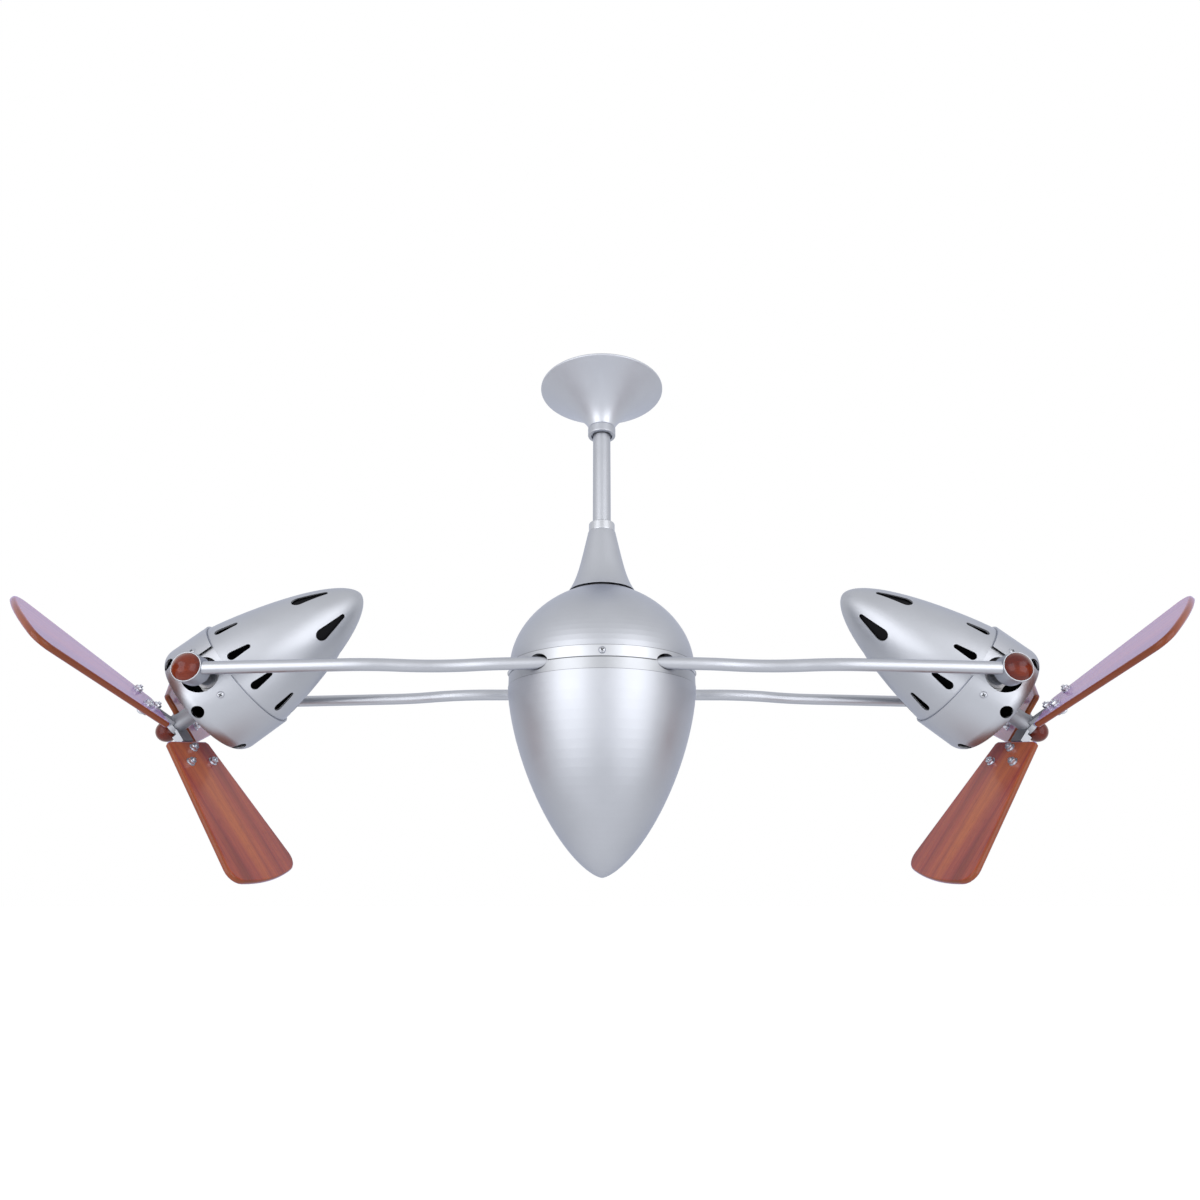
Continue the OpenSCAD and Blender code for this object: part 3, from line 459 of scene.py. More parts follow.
@dataclass(frozen=True)
class LacqueredWood(Finish):
    """Red hardwood with maroon and orange streaks, open pores and a glossy lacquer, with a lilac tint on its
    reflection and, where set, a bluish sheen: painted reflection.

    Its bands, streaks, hairs and pores have their scales along and across the grain, per metre.
    """

    source: GrainSource = GrainSource.MAP
    dark: Colour = (0.14, 0.016, 0.015)
    light: Colour = (0.58, 0.155, 0.035)
    rose: Colour = (0.37, 0.06, 0.042)
    rim: Colour = (0.2, 0.062, 0.022)
    rim_share: float = 0.75
    bands: Pair = (1.1, 16.0)
    streaks: Pair = (5.0, 130.0)
    hairs: Pair = (14.0, 900.0)
    pores: Pair = (90.0, 2600.0)
    relief: float = 0.006 * MM
    lacquer: float = 1.0
    lacquer_roughness: float = 0.1
    ior: float = 1.3
    gloss_tint: Colour = (0.75, 0.79, 1.0)
    haze: float = 0.0
    haze_roughness: float = 0.3
    haze_tint: Colour = (0.45, 0.42, 1.0)

    def dress(self, shader: Shader) -> None:
        """Broad bands and finer streaks along the grain, with fine dark pores.

        Args:
            shader: the tree.
        """
        mapped = self.source is GrainSource.MAP
        if mapped:
            start = shader.add("ShaderNodeUVMap", {"uv_map": self.source.value}).outputs["UV"]
        else:
            start = shader.place()
        streaks = self.drawn(shader, start, self.streaks, 3.0, 0.55)
        hairs = self.drawn(shader, start, self.hairs, 3.0, 0.6)
        wood = shader.ramp(self.drawn(shader, start, self.bands, 2.0, 0.5), (
            (0.38, self.dark), (0.45, self.rose), (0.54, self.light), (0.64, self.colour)))
        wood = shader.blend(0.25, wood, shader.ramp(streaks, (
            (0.34, self.dark), (0.48, self.colour), (0.64, self.light))))
        wood = shader.blend(0.15, wood, shader.ramp(hairs, (
            (0.35, tinted(self.dark, 0.8)), (0.65, tinted(self.light, 1.1)))))
        pores = self.drawn(shader, start, self.pores, 1.0, 0.5)
        wood = shader.blend(shader.span(pores, 0.0, 0.5, 0.6, 0.7), wood, self.dark)
        if mapped:
            rim = shader.add("ShaderNodeAttribute", {"attribute_name": RIM}).outputs["Fac"]
            wood = shader.blend(shader.span(rim, 0.0, self.rim_share, 0.0, 1.0), wood, self.rim)
        # The lilac reflection tint and the bluish sheen stand for the lilac surroundings: painted reflection.
        shader.coat(base_color=wood, ior=self.ior, specular_tint=self.gloss_tint,
                    roughness=shader.span(streaks, self.roughness, self.roughness + 0.1),
                    coat_weight=self.lacquer, coat_roughness=self.lacquer_roughness, coat_ior=self.ior,
                    sheen_weight=self.haze, sheen_roughness=self.haze_roughness,
                    sheen_tint=self.haze_tint)
        shader.bump(hairs, self.relief)

    def drawn(self, shader: Shader, start: Socket, scales: Pair, detail: float, roughness: float) -> Socket:
        """Noise drawn out along the grain.

        Args:
            shader: the tree.
            start: coordinates in metres, the first along the grain.
            scales: the pattern's scales along and across the grain, per metre.
            detail: the noise's detail.
            roughness: the noise's roughness.

        Returns:
            The factor's output.
        """
        length, across = scales
        mapping = shader.add("ShaderNodeMapping", vector=start, scale=(length, across, across))
        return shader.noise(mapping.outputs["Vector"], 1.0, detail, roughness)


NICKEL_COLOUR: Colour = (0.44, 0.455, 0.495)
BRIGHT_COLOUR: Colour = (0.50, 0.515, 0.55)
SPUN_NICKEL = BrushedMetal("satin_nickel_spun", "satin_nickel", NICKEL_COLOUR, 0.46,
                           brushing=Brushing.TURNED)
# The same spun nickel, painted lighter on the canopy: painted light.
LIT_CANOPY_NICKEL = replace(SPUN_NICKEL, name="satin_nickel_canopy", colour=tinted(NICKEL_COLOUR, 1.18))
DRAWN_NICKEL = BrushedMetal("satin_nickel_drawn", "satin_nickel", NICKEL_COLOUR, 0.42,
                            brushing=Brushing.DRAWN)
PLAIN_NICKEL = BrushedMetal("satin_nickel_plain", "satin_nickel", NICKEL_COLOUR, 0.44)
TURNED_BRIGHT = BrushedMetal("bright_nickel_turned", "bright_nickel", BRIGHT_COLOUR, 0.4,
                             brushing=Brushing.TURNED)
# The dark lines at the seams above, between and below the bands are painted shade.
BAND_BRIGHT = BrushedMetal("bright_nickel_bands", "bright_nickel", tinted(BRIGHT_COLOUR, 0.97), 0.42,
                           brushing=Brushing.TURNED, joints=(-353.0 * MM, -365.0 * MM, -377.0 * MM))
# The same band nickel, painted darker on the lower band: painted shade.
SHADED_LOWER_BAND_BRIGHT = replace(BAND_BRIGHT, name="bright_nickel_lower_band",
                            colour=tinted(BRIGHT_COLOUR, 0.8))
# A darker colour and a dark edge tint dim the white reflection on the hub's disc: painted shade.
DIMMED_HUB_NICKEL = BrushedMetal("bright_nickel_hub", "bright_nickel", tinted(NICKEL_COLOUR, 0.9), 0.58,
                          edge_tint=(0.4, 0.42, 0.48))
SCREW_NICKEL = BrushedMetal("bright_nickel_screws", "bright_nickel", tinted(NICKEL_COLOUR, 0.9), 0.35)
PLATED = BrushedMetal("bright_nickel_plated", "bright_nickel", tinted(BRIGHT_COLOUR, 1.25), 0.3,
                      depth=0.006 * MM)
STEEL = BrushedMetal("plain_steel", "plain_steel", (0.52, 0.52, 0.53), 0.3, brushing=Brushing.TURNED)
ZINC = SpangledZinc("galvanised_steel", "galvanised_steel", (0.55, 0.57, 0.6), 0.4)
CAST = SandCast("cast_aluminium", "cast_aluminium", (0.58, 0.58, 0.6), 0.5)
# Near black: the motor housing's own dark paint, also used as painted shade in screw recesses, inside the
# shells and on the chamber behind the vents.
DARK_PAINT_AND_SHADE = Enamel("dark_paint", "dark_paint", (0.004, 0.004, 0.005), 0.6, specular=0.08)
PLASTIC = Enamel("dark_plastic", "dark_plastic", (0.02, 0.02, 0.022), 0.4, peel=0.02 * MM)
COPPER = WoundCopper("copper", "copper", (0.72, 0.31, 0.16), 0.3)
# The blades carry the full bluish sheen: painted sheen.
BLADE_WOOD = LacqueredWood("blade_wood", "red_wood", (0.42, 0.09, 0.03), 0.12, lacquer=0.05, haze=1.0)
TURNED_WOOD = LacqueredWood("turned_wood", "red_wood", (0.09, 0.01, 0.006), 0.2, lacquer=0.5,
                            source=GrainSource.OBJECT, light=(0.22, 0.035, 0.01),
                            rose=(0.13, 0.018, 0.009), dark=(0.03, 0.004, 0.004), bands=(1.6, 34.0))
FINIAL_WOOD = replace(TURNED_WOOD, name="finial_wood", lacquer=0.3, colour=(0.06, 0.007, 0.004),
                      light=(0.14, 0.022, 0.008))


# ------------------------------------------------------------------ meshes


def linked(name: str, mesh: bpy.types.Mesh) -> Piece:
    """A new object in the scene, at the origin.

    Args:
        name: its name.
        mesh: its mesh.

    Returns:
        The object.
    """
    piece = bpy.data.objects.new(name, mesh)
    bpy.context.scene.collection.objects.link(piece)
    return piece


def poured(name: str, bm: RawMesh, materials: Sequence[bpy.types.Material] = ()) -> Piece:
    """A mesh in the making as a new object; what it was made in goes.

    Args:
        name: the object's name.
        bm: the mesh in the making.
        materials: its materials.

    Returns:
        The object.
    """
    mesh = bpy.data.meshes.new(name)
    for material in materials:
        mesh.materials.append(material)
    bm.to_mesh(mesh)
    bm.free()
    return linked(name, mesh)


def settled(piece: Piece, crease: float = SHAPE_CREASE) -> Piece:
    """Turns a piece and its modifiers into a plain, smoothly shaded mesh.

    Args:
        piece: an object whose modifiers are all set.
        crease: edges that turn more than this stay sharp.

    Returns:
        The same object, with its final mesh and no modifiers.
    """
    bpy.context.view_layer.update()
    graph = bpy.context.evaluated_depsgraph_get()
    mesh = bpy.data.meshes.new_from_object(piece.evaluated_get(graph), depsgraph=graph)
    mesh.name = piece.name
    piece.modifiers.clear()
    piece.data = mesh
    mesh.shade_smooth()
    mesh.set_sharp_from_angle(angle=math.radians(crease))
    return piece


def knit(bm: RawMesh) -> RawMesh:
    """Joins a mesh's loose triangles into faces.

    Args:
        bm: the mesh.

    Returns:
        The same mesh.
    """
    bmesh.ops.remove_doubles(bm, verts=bm.verts, dist=MERGE)
    bmesh.ops.dissolve_limit(bm, angle_limit=FLAT, verts=bm.verts, edges=bm.edges)
    return bm


def opened(bm: RawMesh, cutter: Piece) -> RawMesh:
    """A mesh with a cutter's shapes taken out of it; the mesh given and the cutter go.

    Args:
        bm: the mesh.
        cutter: closed shapes that don't touch each other.

    Returns:
        The cut mesh.
    """
    blank = poured("blank", bm)
    cut = blank.modifiers.new("cut", "BOOLEAN")
    cut.operation, cut.solver, cut.object = "DIFFERENCE", "EXACT", cutter
    bpy.context.view_layer.update()
    result = bmesh.new()
    result.from_object(blank, bpy.context.evaluated_depsgraph_get())
    bpy.data.objects.remove(blank)
    bpy.data.objects.remove(cutter)
    return knit(result)


def rounded_copy(node: str, edge: float, segments: int = 2, sharp: float = 40.0,
                 spare: Sequence[Vector] = (), spare_r: float = 0.0, cutter: Piece | None = None) -> Piece:
    """A copy of a frame node whose sharp edges are rounded.

    Args:
        node: the node.
        edge: width of the rounding.
        segments: faces across the rounding.
        sharp: edges that turn more than this are rounded.
        spare: places near which edges stay as they are.
        spare_r: how near.
        cutter: what is cut out before the edges are rounded.

    Returns:
        The copy, a plain mesh.
    """
    bm = bmesh.new()
    bm.from_mesh(frame["nodes"][node].data)
    knit(bm)
    if cutter is not None:
        bm = opened(bm, cutter)
    limit = math.radians(sharp)
    picked = [
        e for e in bm.edges
        if len(e.link_faces) == 2 and e.calc_face_angle(0.0) > limit
        and all((e.verts[0].co - place).length > spare_r for place in spare)
    ]
    bmesh.ops.bevel(bm, geom=picked, offset=edge, segments=segments, profile=0.5, affect="EDGES",
                    clamp_overlap=True, miter_outer="ARC")
    piece = poured(node + "_finished", bm)
    piece.data.shade_smooth()
    piece.data.set_sharp_from_angle(angle=math.radians(COPY_CREASE))
    piece.modifiers.new("even_shading", "WEIGHTED_NORMAL").keep_sharp = True
    return settled(piece, COPY_CREASE)


def merged(name: str, *pieces: Piece) -> Piece:
    """Several pieces of the same materials joined into one mesh; the pieces themselves go.

    Args:
        name: the name of the whole.
        *pieces: what is joined.

    Returns:
        The whole.
    """
    bm = bmesh.new()
    materials = list(pieces[0].data.materials)
    for piece in pieces:
        bm.from_mesh(piece.data)
        bpy.data.objects.remove(piece)
    whole = poured(name, bm, materials)
    whole.data.set_sharp_from_angle(angle=math.radians(SHAPE_CREASE))
    return whole


# ------------------------------------------------------------------ screws and nuts


class GeometryTree(Wiring):
    """A geometry node group with named sizes, which sets one built shape on every point."""

    def __init__(self, name: str, sizes: dict[str, float]) -> None:
        """Starts the group.

        Args:
            name: the group's name.
            sizes: its named inputs with their values.
        """
        super().__init__(bpy.data.node_groups.new(name, "GeometryNodeTree"))
        self.input("Geometry", "Geometry")
        for key, value in sizes.items():
            self.input(key, "Float", value)
        self.input("Seed", "Int", SEED)
        self.input("Material", "Material")
        self.input("Recess Material", "Material")
        self.tree.interface.new_socket("Geometry", in_out="OUTPUT", socket_type="NodeSocketGeometry")
        self.start = self.add("NodeGroupInput")
        self.end = self.add("NodeGroupOutput")

    def input(self, name: str, kind: str, value: object = None) -> None:
        """Gives the group a named input.

        Args:
            name: the input's name.
            kind: what it carries.
            value: what it is unless it is set, where it has that.
        """
        socket = self.tree.interface.new_socket(name, in_out="INPUT", socket_type="NodeSocket" + kind)
        if value is not None:
            socket.default_value = value

    def size(self, name: str) -> Socket:
        """The output that carries a named input."""
        return self.start.outputs[name]

    def times(self, value: object, factor: float) -> Socket:
        """A size multiplied by a factor."""
        return self.reckon("MULTIPLY", value, factor)

    def vector(self, x: object, y: object, z: object) -> Socket:
        """Three numbers or outputs as a vector."""
        return self.add("ShaderNodeCombineXYZ", x=x, y=y, z=z).outputs[0]

    def at_height(self, z: object) -> Socket:
        """The place at a height on the shape's axis."""
        return self.vector(0.0, 0.0, z)

    def moved(self, shape: Socket, by: Socket, scale: object = (1.0, 1.0, 1.0)) -> Socket:
        """A shape scaled and then moved."""
        return self.add("GeometryNodeTransform", geometry=shape, translation=by, scale=scale).outputs[0]

    def ball(self, radius: object, segments: int, rings: int) -> Socket:
        """A ball about the shape's origin."""
        return self.add("GeometryNodeMeshUVSphere", segments=segments, rings=rings,
                        radius=radius).outputs["Mesh"]

    def block(self, x: object, y: object, z: object, height: object) -> Socket:
        """A block of that size about a height."""
        cube = self.add("GeometryNodeMeshCube", size=self.vector(x, y, z))
        return self.moved(cube.outputs["Mesh"], self.at_height(height))

    def post(self, radius: object, height: object, low: object, sides: int) -> Socket:
        """A post that stands on a height.

        Args:
            radius: its radius.
            height: its length.
            low: height of its foot.
            sides: its number of sides.

        Returns:
            The mesh output.
        """
        post = self.add("GeometryNodeMeshCylinder", vertices=sides, radius=radius, depth=height)
        middle = self.reckon("ADD", low, self.times(height, 0.5))
        return self.moved(post.outputs["Mesh"], self.at_height(middle))

    def cut(self, operation: str, first: Socket, *others: Socket) -> Socket:
        """A boolean of meshes.

        Args:
            operation: DIFFERENCE or INTERSECT.
            first: the mesh that is kept.
            *others: the meshes that cut it.

        Returns:
            The mesh output.
        """
        node = self.add("GeometryNodeMeshBoolean", {"operation": operation, "solver": "EXACT"})
        self.feed(node.inputs[0 if operation == "DIFFERENCE" else 1], first)
        for other in others:
            self.feed(node.inputs[1], other)
        return node.outputs[0]

    def joined(self, *shapes: Socket) -> Socket:
        """Several shapes as one.

        Args:
            *shapes: what is joined.

        Returns:
            The geometry output.
        """
        node = self.add("GeometryNodeJoinGeometry")
        for shape in shapes:
            self.feed(node.inputs[0], shape)
        return node.outputs[0]

    def painted(self, shape: Socket, material: str) -> Socket:
        """A shape in the material of a named input."""
        return self.add("GeometryNodeSetMaterial", geometry=shape, material=self.size(material)).outputs[0]

    def finish(self, shape: Socket) -> None:
        """Stands the shape on every point along the point's own axis, turned by chance about it.

        Args:
            shape: the built shape, with its axis along Z.
        """
        axis = self.add("GeometryNodeInputNamedAttribute", {"data_type": "FLOAT_VECTOR"}, name="axis")
        aligned = self.add("FunctionNodeAlignRotationToVector", {"axis": "Z"},
                           vector=axis.outputs["Attribute"])
        chance = self.add("FunctionNodeRandomValue", {"data_type": "FLOAT"}, seed=self.size("Seed"))
        chance.inputs[3].default_value = math.tau
        spin = self.add("FunctionNodeAxisAngleToRotation", axis=UP, angle=chance.outputs[1])
        turned = self.add("FunctionNodeRotateRotation", {"rotation_space": "LOCAL"},
                          rotation=aligned.outputs[0], rotate_by=spin.outputs[0])
        placed = self.add("GeometryNodeInstanceOnPoints", points=self.start.outputs["Geometry"],
                          instance=shape, rotation=turned.outputs[0])
        real = self.add("GeometryNodeRealizeInstances", geometry=placed.outputs[0])
        self.feed(self.end.inputs[0], real.outputs[0])

    def set_on(self, name: str, points: Sequence[Vector], axes: Sequence[Vector],
               material: bpy.types.Material, recess: bpy.types.Material | None = None,
               **sizes: float) -> Piece:
        """Sets the shape on points and settles it into a plain mesh.

        Args:
            name: the piece's name.
            points: where the shapes stand.
            axes: the direction of each one's Z axis.
            material: what they are made of.
            recess: the dark colour put in their recess as painted shade, where they have one.
            **sizes: named inputs that differ from the group's own, with _ for each space.

        Returns:
            The piece.
        """
        mesh = bpy.data.meshes.new(name)
        mesh.from_pydata([tuple(p) for p in points], [], [])
        attribute = mesh.attributes.new("axis", "FLOAT_VECTOR", "POINT")
        for item, axis in zip(attribute.data, axes):
            item.vector = axis
        piece = linked(name, mesh)
        modifier = piece.modifiers.new("shapes", "NODES")
        modifier.node_group = self.tree
        values: dict[str, object] = {key.replace("_", " ").title(): value for key, value in sizes.items()}
        values |= {"Material": material, "Recess Material": recess}
        for item in self.tree.interface.items_tree:
            if item.in_out == "INPUT" and values.get(item.name) is not None:
                modifier[item.identifier] = values[item.name]
        return settled(piece)


def round_screw_tree() -> GeometryTree:
    """Round head screws with a cross recess, its walls painted dark as painted shade, and a threaded shank;
    the head's seat is at the point.

    Returns:
        The group.
    """
    tree = GeometryTree("round_screws", {
        "Head Radius": 3.6 * MM, "Head Height": 2.2 * MM, "Shank Radius": 2.0 * MM,
        "Length": 8.0 * MM, "Pitch": 0.7 * MM, "Recess Width": 0.8 * MM,
    })
    head_r, head_h = tree.size("Head Radius"), tree.size("Head Height")
    shank_r, length = tree.size("Shank Radius"), tree.size("Length")
    pitch, recess = tree.size("Pitch"), tree.size("Recess Width")
    squash = tree.vector(1.0, 1.0, tree.reckon("DIVIDE", head_h, head_r))
    flat = tree.moved(tree.ball(head_r, BALL_SIDES, BALL_RINGS), tree.at_height(0.0), squash)
    wide, arm, deep = tree.times(head_r, 3.0), tree.times(head_r, 1.05), tree.times(head_h, 1.1)
    below = tree.block(wide, wide, wide, tree.times(head_r, -1.5))
    cross_x = tree.block(arm, recess, deep, head_h)
    cross_y = tree.block(recess, arm, deep, head_h)
    dome = tree.cut("DIFFERENCE", tree.painted(flat, "Material"), tree.painted(below, "Material"))
    # The recess walls take the dark recess colour: painted shade.
    head = tree.cut("DIFFERENCE", dome, tree.painted(cross_x, "Recess Material"),
                    tree.painted(cross_y, "Recess Material"))
    core_r = tree.reckon("SUBTRACT", shank_r, tree.times(pitch, 0.4))
    foot = tree.times(length, -1.0)
    core = tree.post(core_r, length, foot, SHANK_SIDES)
    run = tree.reckon("SUBTRACT", length, pitch)
    helix = tree.add("GeometryNodeCurveSpiral", resolution=THREAD_STEPS,
                     rotations=tree.reckon("DIVIDE", run, pitch), start_radius=core_r,
                     end_radius=core_r, height=run)
    ridge = tree.add("GeometryNodeCurvePrimitiveCircle", resolution=3, radius=tree.times(pitch, 0.38))
    thread = tree.add("GeometryNodeCurveToMesh", curve=helix.outputs[0],
                      profile_curve=ridge.outputs["Curve"], fill_caps=True)
    low = tree.moved(thread.outputs[0], tree.at_height(tree.reckon("ADD", foot, tree.times(pitch, 0.5))))
    tree.finish(tree.joined(head, tree.painted(tree.joined(core, low), "Material")))
    return tree


def nut_tree() -> GeometryTree:
    """Hexagon nuts with turned corners on their washers; the washer lies on the point.

    Returns:
        The group.
    """
    tree = GeometryTree("nuts", {
        "Nut Radius": 4.2 * MM, "Nut Height": 3.4 * MM, "Washer Radius": 5.0 * MM,
        "Washer Thickness": 0.8 * MM, "Bore": 2.02 * MM,
    })
    nut_r, nut_h = tree.size("Nut Radius"), tree.size("Nut Height")
    washer_r, washer_t = tree.size("Washer Radius"), tree.size("Washer Thickness")
    hexagon = tree.post(nut_r, nut_h, washer_t, HEXAGON)
    middle = tree.reckon("ADD", washer_t, tree.times(nut_h, 0.5))
    ball = tree.ball(tree.times(nut_r, 1.02), CROWN_SIDES, CROWN_RINGS)
    crown = tree.moved(ball, tree.at_height(middle))
    hole = tree.post(tree.size("Bore"), 20 * MM, -10 * MM, BORE_SIDES)
    nut = tree.cut("DIFFERENCE", tree.cut("INTERSECT", hexagon, crown), hole)
    washer = tree.cut("DIFFERENCE", tree.post(washer_r, washer_t, 0.0, WASHER_SIDES), hole)
    tree.finish(tree.painted(tree.joined(nut, washer), "Material"))
    return tree


# ------------------------------------------------------------------ places


def joint(name: str) -> dict:
    """The frame's joint of that name."""
    return next(j for j in frame["joints"] if j["name"] == name)


@dataclass(frozen=True)
class HeadPlace:
    """Where one head stands: the left one from its joints, the right one as its mirror image."""

    side: Side

    @property
    def pivot(self) -> Vector:
        """The point that the head tilts about."""
        return Vector(joint("head_tilt_" + self.side.word)["pos_m"])

    @property
    def turn(self) -> Matrix:
        """The head's axes.

        Returns:
            A rotation, with Z along the motor towards the blades.
        """
        axis_z = Vector(joint("fan_spin_" + self.side.word)["axis"]).normalized()
        axis_y = Vector((0.0, 1.0, 0.0))
        return Matrix((axis_y.cross(axis_z), axis_y, axis_z)).transposed()

    @property
    def axes(self) -> tuple[Vector, Matrix]:
        """The head's origin and axes, in which its finishes lie."""
        return self.pivot, self.turn

    @property
    def matrix(self) -> Matrix:
        """The head's place.

        Returns:
            What takes the left head's own coordinates to this head's.
        """
        left = HeadPlace(Side.LEFT)
        stand = Matrix.Translation(left.pivot) @ left.turn.to_4x4()
        return stand if self.side is Side.LEFT else Matrix.Diagonal((-1.0, 1.0, 1.0, 1.0)) @ stand


# ------------------------------------------------------------------ sub-assemblies


@dataclass
class SubAssembly:
    """Pieces that ride on one body of the frame."""

    body: str

    def build(self) -> Iterator[str]:
        """Builds and dresses the pieces, and gives each one's name."""
        raise NotImplementedError

    def paint(self, node: str, finish: Finish, centre: Vector = ORIGIN, turn: Matrix = UNTURNED) -> str:
        """Gives a frame node its finish.

        Args:
            node: the node.
            finish: its finish.
            centre: the piece's own origin.
            turn: its own axes.

        Returns:
            The node's name.
        """
        self.coat(frame["nodes"][node], finish, centre, turn)
        return node

    def coat(self, piece: Piece, finish: Finish, centre: Vector = ORIGIN, turn: Matrix = UNTURNED) -> None:
        """Puts a finish on a piece.

        Args:
            piece: the piece.
            finish: its finish.
            centre: the piece's own origin.
            turn: its own axes.
        """
        piece.data.materials.clear()
        piece.data.materials.append(finish.made(centre, turn))

    def stand_in(self, piece: Piece, finish: Finish, node: str) -> str:
        """Sets a finished piece in a frame node's place.

        Args:
            piece: the piece, with its material on.
            finish: not used.
            node: the node that it stands for.

        Returns:
            The piece's name.
        """
        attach(piece, self.body)
        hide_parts(node)
        return piece.name

    def refine(self, node: str, finish: Finish, edge: float, segments: int = 2, centre: Vector = ORIGIN,
               turn: Matrix = UNTURNED, cutter: Piece | None = None) -> Piece:
        """Stands a rounded copy in a frame node's place.

        Args:
            node: the node.
            finish: its finish.
            edge: width of the rounding.
            segments: faces across the rounding.
            centre: the piece's own origin.
            turn: its own axes.
            cutter: what is cut out of the copy.

        Returns:
            The copy.
        """
        piece = rounded_copy(node, edge, segments, cutter=cutter)
        self.coat(piece, finish, centre, turn)
        self.stand_in(piece, finish, node)
        return piece


@dataclass
class CeilingMount(SubAssembly):
    """What hangs still from the ceiling, and the spindle that the carousel turns on."""

    body: str = "ceiling_mount"
    spun_edge: float = 0.5 * MM
    spun_rounding: int = 3
    bracket_edge: float = 0.4 * MM

    def build(self) -> Iterator[str]:
        """Builds and dresses the pieces.

        Yields:
            Each piece's name.
        """
        for node, finish in (("canopy", LIT_CANOPY_NICKEL), ("bell_cover", SPUN_NICKEL)):
            yield self.refine(node, finish, self.spun_edge, self.spun_rounding).name
        for node in ("canopy_collar", "downrod"):
            yield self.paint(node, SPUN_NICKEL)
        yield self.paint("lower_collar", TURNED_BRIGHT)
        yield self.refine("hanger_bracket", ZINC, self.bracket_edge).name
        yield self.paint("hanger_ball", PLASTIC)
        for node in ("cross_pins", "spindle", "spindle_nut", "collar_set_screws"):
            yield self.paint(node, STEEL)
        yield self.paint("slip_ring_core", PLASTIC)
        yield self.paint("slip_rings", COPPER)


@dataclass
class Carousel(SubAssembly):
    """The turning body with its bands, arms and pivot sleeves."""

    body: str = "carousel"
    band_edge: float = 0.35 * MM
    sleeve_edge: float = 0.3 * MM
    body_r: float = 101.0 * MM
    seam_z: float = -365.0 * MM
    band_screw_rise: float = 6.0 * MM
    band_screw_len: float = 8.0 * MM
    clamp_seat_rise: float = 10.8 * MM
    clamp_screw_len: float = 18.0 * MM
    clamp_screw_spots: tuple[Pair, ...] = (
        (22.0 * MM, 66.0 * MM), (-22.0 * MM, 66.0 * MM), (0.0, 77.0 * MM))

    def build(self) -> Iterator[str]:
        """Builds and dresses the pieces.

        Yields:
            Each piece's name.
        """
        for node in ("dome", "lower_cone"):
            yield self.paint(node, SPUN_NICKEL)
        for node, finish in (("upper_band", BAND_BRIGHT), ("lower_band", SHADED_LOWER_BAND_BRIGHT)):
            yield self.refine(node, finish, self.band_edge).name
        for node in ("arm_front_left", "arm_rear_left", "arm_front_right", "arm_rear_right"):
            yield self.paint(node, DRAWN_NICKEL)
        yield self.refine("pivot_sleeves", PLAIN_NICKEL, self.sleeve_edge).name
        yield self.paint("pivot_caps", TURNED_WOOD)
        for node in ("arm_carrier", "arm_clamps"):
            yield self.paint(node, CAST)
        yield self.screws()
        yield self.paint("main_bearings", STEEL)
        yield self.paint("brush_block", PLASTIC)

    def screws(self) -> str:
        """The band's screws and the clamps' longer ones, as one piece.

        Returns:
            The piece's name.
        """
        material, recess = SCREW_NICKEL.made(), DARK_PAINT_AND_SHADE.made()
        tree = round_screw_tree()
        around = [Vector((math.cos(a), math.sin(a), 0.0)) for a in (0.0, math.pi / 2, math.pi, -math.pi / 2)]
        rise = Vector((0.0, 0.0, self.seam_z + self.band_screw_rise))
        band = tree.set_on("band_screws", [d * self.body_r + rise for d in around], around, material,
                           recess, length=self.band_screw_len)
        top = self.seam_z + self.clamp_seat_rise
        spots = [Vector((x, sign * y, top)) for x, y in self.clamp_screw_spots for sign in (-1, 1)]
        clamp = tree.set_on("clamp_screws", spots, [UP] * len(spots), material, recess,
                            length=self.clamp_screw_len)
        return self.stand_in(merged("carousel_screws_cut", band, clamp), SCREW_NICKEL, "carousel_screws")


@dataclass
class SidePart(SubAssembly):
    """Pieces of the left or the right head, which stand in the head's own axes."""

    kind: ClassVar[str]
    body: str = field(init=False)
    side: Side = Side.LEFT

    def __post_init__(self) -> None:
        """Finds the body and its place."""
        self.body = self.named(self.kind)
        self.place = HeadPlace(self.side)

    def named(self, node: str) -> str:
        """The name that a node has on this side."""
        return f"{node}_{self.side.word}"


